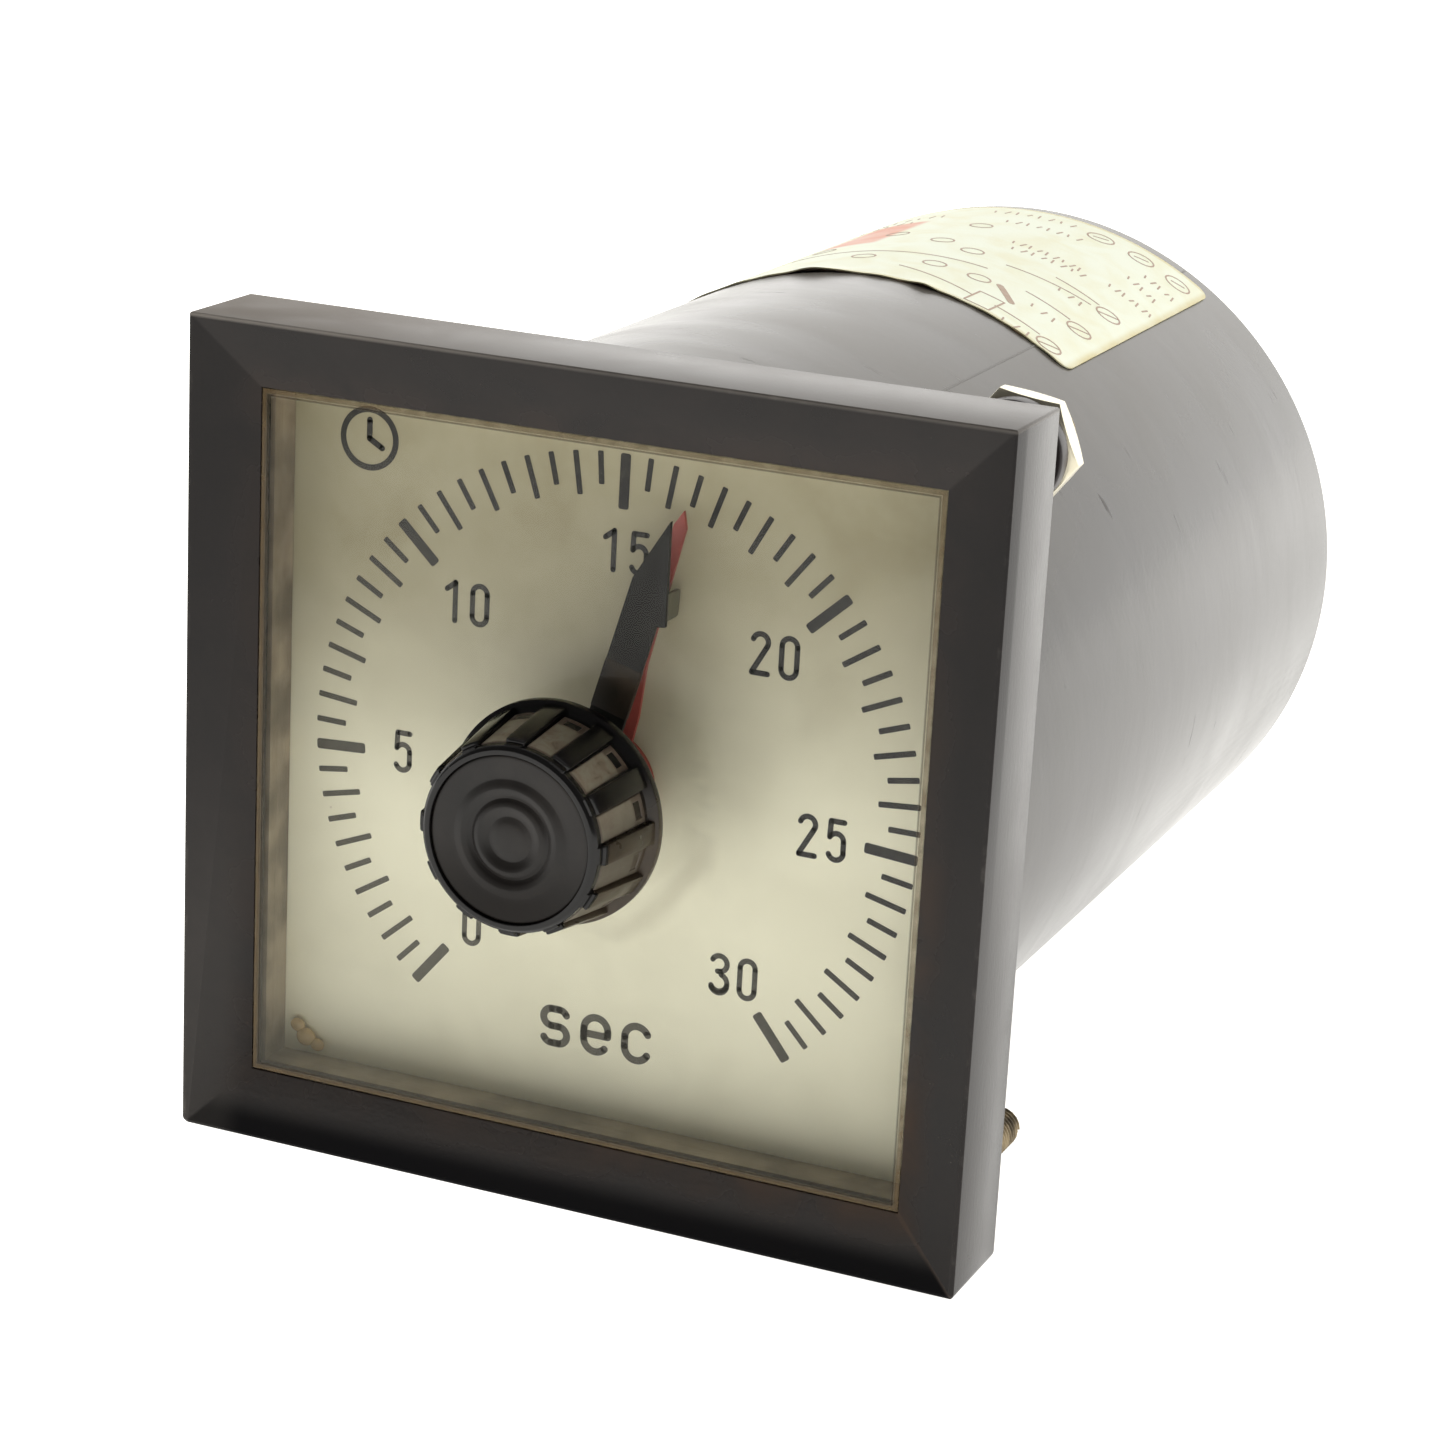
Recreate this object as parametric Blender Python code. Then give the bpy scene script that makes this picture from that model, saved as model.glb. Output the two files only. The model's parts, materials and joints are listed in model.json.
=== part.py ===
"""Panel-mounting process timer: square bezel, ribbed setting knob, round can and full movement.

Frame: metres, +Z up, the dial faces -Y, origin under the centre of the overall box.
Depths named y below are measured from the plane of the bezel's front edge.
"""

import math

import bmesh
import bpy
from mathutils import Matrix, Vector

MM = 0.001

# Overall placing
FRONT_Y = -63.75 * MM        # world y of the bezel's front plane
AXIS_Z = 48.0 * MM           # world z of the instrument axis

# Bezel
BEZEL_HALF = 48.0
BEZEL_DEPTH = 12.9
BEZEL_CORNER = 0.6
SLOPE_HALF = 47.5
OPENING_HALF = 40.2
OPENING_Y = 2.4
LIP_Y = 4.5
CAVITY_HALF = 42.0
CAVITY_Y = 11.55
CAN_SEAT_R = 46.25
BOSS_XZ = 41.0
BOSS_R = 4.4
BOSS_END_Y = 17.0

# Window and dial
WINDOW_FRONT_Y = 2.6
WINDOW_HALF = 39.9
WINDOW_REAR_Y = 4.2
WINDOW_RIM_HALF = 41.6
WINDOW_HOLE_R = 6.6
DIAL_FRONT_Y = 10.4
DIAL_THICK = 0.8
DIAL_HALF = 41.6
DIAL_HOLE_R = 5.2

# Can and label
CAN_R = 45.9
CAN_WALL = 2.2
CAN_FRONT_Y = 11.9
CAN_REAR_Y = 142.0
CAN_FLANGE = 3.3
CAN_REAR_OPEN_R = 41.0
LABEL_R = 46.2
LABEL_THICK = 0.25
LABEL_Y = (79.5, 138.0)
LABEL_ANGLES = (54.4, 125.6)

# Mounting hardware
STUD_R = 2.4
STUD_Y = (12.7, 34.0)
STUD_HOLE_Y = 12.4
STUD_CHAMFER = 0.5
DISC_R = 5.9
DISC_Y = (18.2, 20.4)
NUT_FLATS = 11.9
NUT_Y = (20.7, 23.4)
NUT_TURN_DEG = 22.5
THREAD_GAP = 0.15

# Knob
KNOB_FACE_Y = -14.5
KNOB_REAR_Y = -2.8
KNOB_FLANGE_R = 12.6
KNOB_RIBS = 12
KNOB_BOSS_R = 5.6
KNOB_BOSS_END_Y = 1.7
KNOB_BORE_R = 3.2
SPINDLE_R = 3.0
SPINDLE_Y = (-12.9, 57.4)
KNOB_WALL_Y = KNOB_FACE_Y + 3.0
KNOB_COUNTERBORE_Y = KNOB_FACE_Y + 4.2
KNOB_COUNTERBORE_R = 5.0
CAP_SEAT_Y = KNOB_FACE_Y + 1.6
CAP_FACE_Y = KNOB_FACE_Y + 0.5
CAP_R = 9.1
KNOB_RECESS_R = 9.4
KNOB_NUT_FLATS = 8.0
KNOB_NUT_Y = (KNOB_FACE_Y + 1.9, KNOB_FACE_Y + 3.9)
RUN_GAP = 0.15

# Pointers
SET_REST_DEG = 74.1
SET_POINTER_Y = (5.2, 5.8)
SET_TIP_R = 32.6
SET_HUB_R = 6.2
SET_BLADE_HALF = 2.15
SET_BLADE_SHIFT = 0.75
SET_ARROW_R = 21.0
SET_TAB_END_Y = 9.4
ELAPSED_POINTER_Y = (8.2, 8.7)
ELAPSED_REST_DEG = 75.2
ELAPSED_HUB_R = 6.4
ELAPSED_ROOT_HALF = 1.7
ELAPSED_TIP_R = 33.2
TUBE_BORE_R = 3.15
TUBE_R = 4.2
TUBE_Y = (7.4, 27.4)

# Setting cam, return spring and clutch
CAM_R = 17.0
CAM_NOTCH_R = 15.6
CAM_POINTS = 72
CAM_START_DEG = 95.0
CAM_Y = (49.0, 50.2)
SPRING_TURNS = 3.5
SPRING_R = (6.5, 12.5)
SPRING_THICK = 0.4
SPRING_Y = (16.0, 18.0)
ARMATURE_R = 14.0
ARMATURE_Y = (25.2, 26.6)

# Movement
FRONT_PLATE_Y = (12.2, 13.7)
REAR_PLATE_Y = (55.0, 56.5)
PLATE_R = 43.0
PILLAR_RADIUS = 38.0
PILLAR_R = 2.6
WHEEL_MODULE = 0.72
WHEEL_TEETH = 60
PINION_TEETH = 10
TRANSFER_MODULE = 0.6
TRANSFER_TEETH = 50
TRANSFER_XZ = (0.0, -25.2)
CLUTCH_WHEEL_Y = (21.5, 23.5)
TRANSFER_PINION_Y = (20.6, 25.0)
TRANSFER_WHEEL_Y = (51.2, 52.4)
MOTOR_PINION_Y = (50.7, 53.4)
ARBOR_R = 1.2
ARBOR_Y = (14.1, 54.6)
ROTOR_SHAFT_R = 1.0
ROTOR_SHAFT_Y = (50.4, 80.0)
SHAFT_HOLE_R = 1.6
ROTOR_R = 10.5
ROTOR_Y = (62.0, 77.0)
POT_R = 16.5
POT_Y = (29.0, 46.5)
POT_WALL_R = 15.0
POT_BASE_Y = 44.5
POT_CORE_R = 6.2
POT_CORE_Y = 30.0
MAGNET_COIL_R = (6.6, 14.6)
MAGNET_COIL_Y = (30.2, 44.1)
MOTOR_ANGLE = 60.0
MOTOR_R = 22.0
MOTOR_Y = (58.0, 84.0)
MOTOR_WALL = 1.2
MOTOR_BOSS_R = 2.0
MOTOR_COVER_Y = (82.0, 83.4)
MOTOR_COIL_R = (11.4, 19.8)
MOTOR_COIL_Y = (60.5, 78.5)

# Output switch
SWITCH_HALF = (9.0, 6.0)
SWITCH_Y = (46.6, 52.6)
SWITCH_Z = 26.8
PLUNGER_R = 1.2
PLUNGER_LENGTH = 7.0
PLUNGER_YZ = (49.6, 21.0)
WELL_LENGTH = 6.0
WELL_Z = 22.8

# Rear terminals
TIE_ROD_X = 36.0
TERMINAL_Y = (132.0, 138.4)
TERMINAL_COLUMNS = (-27.0, -9.0, 9.0, 27.0)
TERMINAL_ROWS = (14.0, -14.0)
TERMINAL_HOLE_R = 2.1
TERMINAL_HOLE_Y = 133.5
SCREW_R = 1.8
SCREW_HEAD_R = 3.4
SCREW_Y = (133.9, 138.7, 141.0)
SCREW_SLOT_Y = 140.2
RIDGE_END_Y = 141.0
RIDGE_X = (-18.0, 0.0, 18.0)
TIE_ROD_R = 2.2
TIE_ROD_END_Y = 141.4
REAR_NUT_FLATS = 6.4
REAR_NUT_Y = (138.8, 140.9)
GAP = 0.3


def clear_scene():
    """Empty the scene before building."""
    for obj in list(bpy.data.objects):
        bpy.data.objects.remove(obj, do_unlink=True)


def world(x=0.0, y=0.0, z=0.0):
    """Point in metres from millimetres off the axis and behind the bezel's front plane."""
    return Vector((x * MM, FRONT_Y + y * MM, AXIS_Z + z * MM))


def make_material(name, colour, roughness, metallic=0.0, alpha=1.0):
    """Plain material with the given surface values."""
    mat = bpy.data.materials.new(name)
    mat.use_nodes = True
    shader = mat.node_tree.nodes["Principled BSDF"]
    shader.inputs["Base Color"].default_value = (*colour, 1.0)
    shader.inputs["Roughness"].default_value = roughness
    shader.inputs["Metallic"].default_value = metallic
    shader.inputs["Alpha"].default_value = alpha
    return mat


def finish(bm, name, mat, place=(0.0, 0.0), parent=None):
    """Turn a bmesh in millimetres into a named object on the axis through place."""
    bmesh.ops.remove_doubles(bm, verts=bm.verts, dist=0.002)
    bmesh.ops.recalc_face_normals(bm, faces=bm.faces)
    bmesh.ops.scale(bm, vec=Vector((MM, MM, MM)), verts=bm.verts)
    for face in bm.faces:
        face.smooth = True
    for edge in bm.edges:
        edge.smooth = len(edge.link_faces) == 2 and edge.calc_face_angle(0.0) < math.radians(32)
    mesh = bpy.data.meshes.new(name)
    bm.to_mesh(mesh)
    bm.free()
    mesh.materials.append(mat)
    obj = bpy.data.objects.new(name, mesh)
    bpy.context.collection.objects.link(obj)
    obj.location = world(place[0], 0.0, place[1])
    if parent is not None:
        obj.parent = parent
        obj.location = world(place[0], 0.0, place[1]) - parent.location
    return obj


def pivot(name, x=0.0, z=0.0):
    """Empty on a joint's axis, which carries the pieces that turn together."""
    empty = bpy.data.objects.new(name, None)
    empty.location = world(x, 0.0, z)
    bpy.context.collection.objects.link(empty)
    return empty


def ring_loop(rings, closed=True):
    """Closed skin through rings of equal point count; ends are capped unless closed."""
    bm = bmesh.new()
    loops = [[bm.verts.new(p) for p in ring] for ring in rings]
    count = len(loops[0])
    pairs = list(zip(loops, loops[1:]))
    if closed:
        pairs.append((loops[-1], loops[0]))
    for first, second in pairs:
        for i in range(count):
            j = (i + 1) % count
            bm.faces.new((first[i], first[j], second[j], second[i]))
    if not closed:
        bm.faces.new(loops[0])
        bm.faces.new(loops[-1])
    return bm


def revolve(profile, segments=20):
    """Spin a closed outline of (radius, y) points once round the y axis."""
    bm = bmesh.new()
    verts = [bm.verts.new((r, y, 0.0)) for r, y in profile]
    on_axis = profile[0][0] == 0.0 and profile[-1][0] == 0.0
    last = len(verts) - 1 if on_axis else len(verts)
    edges = [bm.edges.new((verts[i], verts[(i + 1) % len(verts)])) for i in range(last)]
    bmesh.ops.spin(bm, geom=verts + edges, cent=(0, 0, 0), axis=(0, 1, 0),
                   angle=math.tau, steps=segments, use_merge=True)
    bmesh.ops.remove_doubles(bm, verts=bm.verts, dist=0.0001)
    return bm


def tube(r_in, r_out, y0, y1, segments=20):
    """Round tube between two radii and two depths."""
    return revolve([(r_out, y0), (r_out, y1), (r_in, y1), (r_in, y0)], segments)


def rod(radius, y0, y1, chamfer=0.0, segments=16):
    """Solid round bar with optional broken ends."""
    if chamfer == 0.0:
        return revolve([(0.0, y0), (radius, y0), (radius, y1), (0.0, y1)], segments)
    return revolve([(0.0, y0), (radius - chamfer, y0), (radius, y0 + chamfer),
                    (radius, y1 - chamfer), (radius - chamfer, y1), (0.0, y1)], segments)


def prism(outline, y0, y1):
    """Extrude an outline of (x, z) points from depth y0 to y1."""
    bm = bmesh.new()
    face = bm.faces.new([bm.verts.new((x, y0, z)) for x, z in outline])
    grown = bmesh.ops.extrude_face_region(bm, geom=[face])["geom"]
    moved = [v for v in grown if isinstance(v, bmesh.types.BMVert)]
    bmesh.ops.translate(bm, verts=moved, vec=(0.0, y1 - y0, 0.0))
    return bm


def block(half_x, half_z, y0, y1, centre=(0.0, 0.0)):
    """Box given by its half width, half height and depth range."""
    bm = bmesh.new()
    shape = Matrix.Diagonal((2 * half_x, y1 - y0, 2 * half_z, 1.0))
    place = Matrix.Translation((centre[0], (y0 + y1) / 2, centre[1]))
    bmesh.ops.create_cube(bm, size=1.0, matrix=place @ shape)
    return bm


def polar(radius, degrees):
    """Point (x, z) at an angle measured from +x towards +z."""
    angle = math.radians(degrees)
    return radius * math.cos(angle), radius * math.sin(angle)


def apply_boolean(obj, tool, operation="DIFFERENCE"):
    """Combine an object with a hidden tool solid."""
    tool.hide_render = True
    tool.display_type = "WIRE"
    modifier = obj.modifiers.new(f"{operation.lower()}_{tool.name}", "BOOLEAN")
    modifier.operation = operation
    modifier.solver = "EXACT"
    modifier.object = tool


def add_bevel(obj, width, segments=2, degrees=40.0):
    """Break the sharp edges of an object."""
    modifier = obj.modifiers.new("edge_break", "BEVEL")
    modifier.width = width * MM
    modifier.segments = segments
    modifier.limit_method = "ANGLE"
    modifier.angle_limit = math.radians(degrees)


def cutter(bm, name, place=(0.0, 0.0)):
    """Tool solid for a boolean."""
    return finish(bm, f"tool_{name}", MATERIALS["tool"], place)


def hex_ring(flats, bore, y0, y1, chamfer=0.5, turn=0.0):
    """Hexagon nut blank turned by degrees, its corners broken at both ends, with a round bore."""
    corner = flats / 2 / math.cos(math.radians(30))
    steps = 12

    def outer(shrink):
        points = []
        for k in range(steps):
            angle = 360.0 * k / steps
            fold = (angle % 60.0) - 30.0
            radius = flats / 2 / math.cos(math.radians(fold))
            points.append((min(radius, corner - shrink), angle + turn))
        return points

    def ring(points, y):
        return [(polar(r, a)[0], y, polar(r, a)[1]) for r, a in points]

    hole = [(bore, 360.0 * k / steps + turn) for k in range(steps)]
    return ring_loop([
        ring(outer(chamfer), y0), ring(outer(0.0), y0 + chamfer * 0.6),
        ring(outer(0.0), y1 - chamfer * 0.6), ring(outer(chamfer), y1),
        ring(hole, y1), ring(hole, y0),
    ])


def gear_outline(module, teeth, phase):
    """Points of a spur gear with slim straight-sided teeth; phase is one tooth's angle."""
    pitch_r = module * teeth / 2
    tip_r = pitch_r + 0.8 * module
    root_r = pitch_r - 1.3 * module
    step = 360.0 / teeth
    points = []
    for k in range(teeth):
        middle = phase + k * step
        points.append(polar(root_r, middle - 0.25 * step))
        points.append(polar(tip_r, middle - 0.08 * step))
        points.append(polar(tip_r, middle + 0.08 * step))
        points.append(polar(root_r, middle + 0.25 * step))
    return points


def bored_gear(name, module, teeth, phase, bore, y_span, mat, place, parent):
    """Spur gear blank with its bore cut out."""
    outline = gear_outline(module, teeth, phase)
    gear = finish(prism(outline, *y_span), name, mat, place, parent)
    hole = cutter(rod(bore, y_span[0] - 1.0, y_span[1] + 1.0), "gear_bore", place)
    apply_boolean(gear, hole)
    return gear


def build_materials():
    """All finishes by name."""
    table = {
        "tool": ((0.5, 0.5, 0.5), 0.5, 0.0),
        "bezel_plastic": ((0.055, 0.05, 0.047), 0.42, 0.0),
        "window_plastic": ((0.85, 0.87, 0.8), 0.12, 0.0, 0.25),
        "dial_enamel": ((0.52, 0.51, 0.38), 0.5, 0.0),
        "can_phenolic": ((0.045, 0.036, 0.03), 0.18, 0.0),
        "label_paper": ((0.75, 0.72, 0.45), 0.6, 0.0),
        "stud_brass": ((0.6, 0.48, 0.26), 0.4, 1.0),
        "disc_black": ((0.03, 0.025, 0.025), 0.5, 0.0),
        "nut_plated": ((0.75, 0.73, 0.64), 0.35, 1.0),
        "knob_black": ((0.02, 0.019, 0.02), 0.2, 0.0),
        "cap_black": ((0.03, 0.03, 0.032), 0.25, 0.0),
        "steel": ((0.55, 0.55, 0.53), 0.35, 1.0),
        "brass": ((0.65, 0.5, 0.22), 0.35, 1.0),
        "pointer_black": ((0.03, 0.03, 0.03), 0.4, 0.0),
        "pointer_red": ((0.6, 0.04, 0.03), 0.45, 0.0),
        "copper": ((0.6, 0.28, 0.14), 0.35, 1.0),
        "magnet_grey": ((0.2, 0.2, 0.21), 0.5, 1.0),
        "switch_plastic": ((0.05, 0.05, 0.05), 0.5, 0.0),
        "terminal_phenolic": ((0.1, 0.05, 0.03), 0.45, 0.0),
        "spring_steel": ((0.4, 0.42, 0.48), 0.3, 1.0),
    }
    return {name: make_material(name, *values) for name, values in table.items()}


def build_bezel():
    """Square frame with a sloped front, window opening, can seat and four bosses."""
    bezel = finish(block(BEZEL_HALF, BEZEL_HALF, 0.0, BEZEL_DEPTH), "bezel",
                   MATERIALS["bezel_plastic"])
    for edge in bezel.data.edges:
        first, second = (bezel.data.vertices[i].co for i in edge.vertices)
        edge.use_edge_sharp = abs(first.y - second.y) > MM
    weights = bezel.data.attributes.new("bevel_weight_edge", "FLOAT", "EDGE")
    for edge in bezel.data.edges:
        weights.data[edge.index].value = 1.0 if edge.use_edge_sharp else 0.35
    modifier = bezel.modifiers.new("corner_round", "BEVEL")
    modifier.width = BEZEL_CORNER * MM
    modifier.segments = 3
    modifier.limit_method = "WEIGHT"

    reach = (SLOPE_HALF - OPENING_HALF) / OPENING_Y
    near = SLOPE_HALF + reach
    corners = ((-1, -1), (1, -1), (1, 1), (-1, 1))
    funnel = ring_loop([
        [(near * sx, -1.0, near * sz) for sx, sz in corners],
        [((OPENING_HALF - reach * 0.2) * sx, OPENING_Y + 0.2, (OPENING_HALF - reach * 0.2) * sz)
         for sx, sz in corners],
    ], closed=False)
    for sx, sz in corners:
        boss = cutter(rod(BOSS_R, CAVITY_Y + 0.4, BOSS_END_Y), "bezel_boss",
                      (BOSS_XZ * sx, BOSS_XZ * sz))
        apply_boolean(bezel, boss, "UNION")
    cuts = [
        cutter(funnel, "bezel_slope"),
        cutter(block(OPENING_HALF, OPENING_HALF, -1.0, LIP_Y + 0.3), "bezel_opening"),
        cutter(block(CAVITY_HALF, CAVITY_HALF, LIP_Y, CAVITY_Y), "bezel_cavity"),
        cutter(rod(CAN_SEAT_R, CAVITY_Y - 0.05, BEZEL_DEPTH + 1.0, segments=64), "can_seat"),
    ]
    for sx, sz in corners:
        cuts.append(cutter(rod(STUD_R + GAP, STUD_HOLE_Y, BOSS_END_Y + 1.0), "stud_hole",
                           (BOSS_XZ * sx, BOSS_XZ * sz)))
    for tool in cuts:
        apply_boolean(bezel, tool)


def square_ring(half, y, count):
    """Square outline sampled with count points per side, starting at a corner."""
    points = []
    corners = [(-half, -half), (half, -half), (half, half), (-half, half)]
    for (x0, z0), (x1, z1) in zip(corners, corners[1:] + corners[:1]):
        for k in range(count):
            part = k / count
            points.append((x0 + (x1 - x0) * part, y, z0 + (z1 - z0) * part))
    return points


def round_ring(radius, y, count):
    """Circle with the same point order as square_ring."""
    total = 4 * count
    return [(polar(radius, 225.0 + 360.0 * k / total)[0], y,
             polar(radius, 225.0 + 360.0 * k / total)[1]) for k in range(total)]


def build_window_and_dial():
    """Clear window in its lip and the dial plate behind it."""
    n = 6
    window = ring_loop([
        square_ring(WINDOW_HALF - 0.3, WINDOW_FRONT_Y, n),
        square_ring(WINDOW_HALF, WINDOW_FRONT_Y + 0.3, n),
        square_ring(WINDOW_HALF, LIP_Y + GAP, n),
        square_ring(WINDOW_RIM_HALF, LIP_Y + GAP, n),
        square_ring(WINDOW_RIM_HALF, LIP_Y + GAP + 0.8, n),
        square_ring(WINDOW_HALF - 1.4, LIP_Y + GAP + 0.8, n),
        square_ring(WINDOW_HALF - 1.4, WINDOW_REAR_Y, n),
        round_ring(WINDOW_HOLE_R, WINDOW_REAR_Y, n),
        round_ring(WINDOW_HOLE_R, WINDOW_FRONT_Y, n),
    ])
    finish(window, "window", MATERIALS["window_plastic"])
    dial = ring_loop([
        square_ring(DIAL_HALF, DIAL_FRONT_Y, n),
        square_ring(DIAL_HALF, DIAL_FRONT_Y + DIAL_THICK, n),
        round_ring(DIAL_HOLE_R, DIAL_FRONT_Y + DIAL_THICK, n),
        round_ring(DIAL_HOLE_R, DIAL_FRONT_Y, n),
    ])
    finish(dial, "dial", MATERIALS["dial_enamel"])


def build_can_and_label():
    """Round housing and the label wrapped on it."""
    inner = CAN_R - CAN_WALL
    profile = [
        (CAN_R, CAN_FRONT_Y), (CAN_R, CAN_REAR_Y - 1.2), (CAN_R - 0.35, CAN_REAR_Y - 0.35),
        (CAN_R - 1.2, CAN_REAR_Y), (CAN_REAR_OPEN_R, CAN_REAR_Y),
        (CAN_REAR_OPEN_R, CAN_REAR_Y - CAN_FLANGE), (inner, CAN_REAR_Y - CAN_FLANGE),
        (inner, CAN_FRONT_Y),
    ]
    finish(revolve(profile, 64), "can", MATERIALS["can_phenolic"])

    start, end = LABEL_ANGLES
    steps = 32
    rings = []
    for k in range(steps + 1):
        angle = start + (end - start) * k / steps
        edge = min(k, steps - k) * (end - start) / steps * math.pi / 180 * LABEL_R
        inset = 2.0 - math.sqrt(max(0.0, 4.0 - (2.0 - min(2.0, edge)) ** 2))
        x_in, z_in = polar(LABEL_R, angle)
        x_out, z_out = polar(LABEL_R + LABEL_THICK, angle)
        y0, y1 = LABEL_Y[0] + inset, LABEL_Y[1] - inset
        rings.append([(x_in, y0, z_in), (x_out, y0, z_out), (x_out, y1, z_out), (x_in, y1, z_in)])
    finish(ring_loop(rings, closed=False), "label", MATERIALS["label_paper"])


def build_mounting_hardware():
    """Four studs, and the disc and nut on two of them."""
    spots = [(1, 1), (-1, 1), (-1, -1), (1, -1)]
    for number, (sx, sz) in enumerate(spots, start=1):
        place = (BOSS_XZ * sx, BOSS_XZ * sz)
        finish(rod(STUD_R, *STUD_Y, chamfer=STUD_CHAMFER), f"stud_{number}",
               MATERIALS["stud_brass"], place)
    for number, (sx, sz) in enumerate((spots[0], spots[2]), start=1):
        place = (BOSS_XZ * sx, BOSS_XZ * sz)
        finish(tube(STUD_R + GAP, DISC_R, *DISC_Y), f"clamp_disc_{number}",
               MATERIALS["disc_black"], place)
        nut = hex_ring(NUT_FLATS, STUD_R + THREAD_GAP, *NUT_Y, turn=NUT_TURN_DEG)
        finish(nut, f"clamp_nut_{number}", MATERIALS["nut_plated"], place)


def knob_ring(rib_r, flat_r, y):
    """Ring of points with one raised rib and one flat in each sector."""
    sector = 360.0 / KNOB_RIBS
    points = []
    for k in range(KNOB_RIBS):
        middle = k * sector
        for offset, radius in ((-6.0, rib_r), (6.0, rib_r), (6.8, flat_r), (15.0, flat_r),
                               (23.2, flat_r)):
            x, z = polar(radius, middle + offset)
            points.append((x, y, z))
    return points


def build_setting_group(axis):
    """Knob with its cap and nut on the spindle, and what the spindle carries."""
    face, rear = KNOB_FACE_Y, KNOB_REAR_Y
    stations = [
        (KNOB_RECESS_R, KNOB_RECESS_R, face),
        (KNOB_RECESS_R + 0.5, KNOB_RECESS_R + 0.5, face),
        (10.3, 10.3, face + 0.4),
        (10.95, 10.35, face + 0.9),
        (12.25, 11.45, rear - 1.3),
        (KNOB_FLANGE_R, KNOB_FLANGE_R, rear - 1.0),
        (KNOB_FLANGE_R, KNOB_FLANGE_R, rear),
        (9.7, 9.7, rear),
        (8.5, 8.5, KNOB_WALL_Y),
        (KNOB_BOSS_R, KNOB_BOSS_R, KNOB_WALL_Y),
        (KNOB_BOSS_R, KNOB_BOSS_R, KNOB_BOSS_END_Y),
        (KNOB_BORE_R, KNOB_BORE_R, KNOB_BOSS_END_Y),
        (KNOB_BORE_R, KNOB_BORE_R, KNOB_COUNTERBORE_Y),
        (KNOB_COUNTERBORE_R, KNOB_COUNTERBORE_R, KNOB_COUNTERBORE_Y),
        (KNOB_COUNTERBORE_R, KNOB_COUNTERBORE_R, CAP_SEAT_Y),
        (KNOB_RECESS_R, KNOB_RECESS_R, CAP_SEAT_Y),
    ]
    skin = [knob_ring(rib_r, flat_r, y) for rib_r, flat_r, y in stations]
    finish(ring_loop(skin), "knob", MATERIALS["knob_black"], parent=axis)

    top = CAP_FACE_Y
    cap = [(0.0, top - 0.15), (1.6, top - 0.05), (2.5, top + 0.35), (3.1, top + 0.4),
           (3.6, top), (4.3, top), (4.8, top + 0.4), (5.2, top + 0.4), (5.7, top),
           (6.3, top), (6.8, top + 0.3), (CAP_R, top + 0.2), (CAP_R, top + 0.85),
           (0.0, top + 0.85)]
    finish(revolve(cap), "knob_cap", MATERIALS["cap_black"], parent=axis)
    finish(hex_ring(KNOB_NUT_FLATS, SPINDLE_R + THREAD_GAP, *KNOB_NUT_Y), "knob_nut",
           MATERIALS["brass"], parent=axis)
    finish(rod(SPINDLE_R, *SPINDLE_Y, chamfer=0.3), "spindle", MATERIALS["steel"], parent=axis)
    build_set_pointer(axis)
    build_set_cam(axis)
    build_return_spring(axis)


def place_blade(points, degrees, y):
    """Turn (along, across) points to a direction; across is to the left of the direction."""
    ux, uz = polar(1.0, degrees)
    return [(along * ux - across * uz, y, along * uz + across * ux) for along, across in points]


def hub_arc(radius, start, end, steps):
    """Points round a pointer's hub from one root edge of its blade to the other."""
    return [polar(radius, start + (end - start) * k / steps) for k in range(steps + 1)]


def build_set_pointer(axis):
    """Blade with an arrow tip, on a hub ring, and a tab bent back to catch the red pointer."""
    half, shift = SET_BLADE_HALF, SET_BLADE_SHIFT
    start = math.degrees(math.asin((half + shift) / SET_HUB_R))
    end = 360.0 - math.degrees(math.asin((half - shift) / SET_HUB_R))
    outline = hub_arc(SET_HUB_R, start, end, 26)
    outline += [(SET_ARROW_R - 0.1, shift - half), (SET_ARROW_R + 0.3, shift - half - 1.0),
                (SET_TIP_R, shift), (SET_ARROW_R + 4.0, shift + half)]
    front = place_blade(outline, SET_REST_DEG, SET_POINTER_Y[0])
    rear = place_blade(outline, SET_REST_DEG, SET_POINTER_Y[1])
    blade = finish(ring_loop([front, rear], closed=False), "set_pointer",
                   MATERIALS["pointer_black"], parent=axis)
    edge = shift - half
    tab_outline = [(SET_ARROW_R + 0.5, edge - 0.6), (SET_ARROW_R + 3.6, edge + 0.1),
                   (SET_ARROW_R + 3.5, edge + 0.7), (SET_ARROW_R + 0.4, edge)]
    tab = ring_loop([place_blade(tab_outline, SET_REST_DEG, SET_POINTER_Y[0] + 0.2),
                     place_blade(tab_outline, SET_REST_DEG, SET_TAB_END_Y)], closed=False)
    apply_boolean(blade, cutter(tab, "set_pointer_tab"), "UNION")
    hole = rod(SPINDLE_R + RUN_GAP, SET_POINTER_Y[0] - 2.0, SET_POINTER_Y[1] + 1.2)
    apply_boolean(blade, cutter(hole, "set_pointer_hole"))


def build_set_cam(axis):
    """Disc with one notch, which works the switch at the set time."""
    points = []
    for k in range(CAM_POINTS):
        radius = CAM_NOTCH_R if 1 < k < 6 else CAM_R
        points.append(polar(radius, CAM_START_DEG + 360.0 * k / CAM_POINTS))
    cam = finish(prism(points, *CAM_Y), "set_cam", MATERIALS["brass"], parent=axis)
    hole = rod(SPINDLE_R + RUN_GAP, CAM_Y[0] - 2.0, CAM_Y[1] + 1.8)
    apply_boolean(cam, cutter(hole, "cam_hole"))


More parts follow.
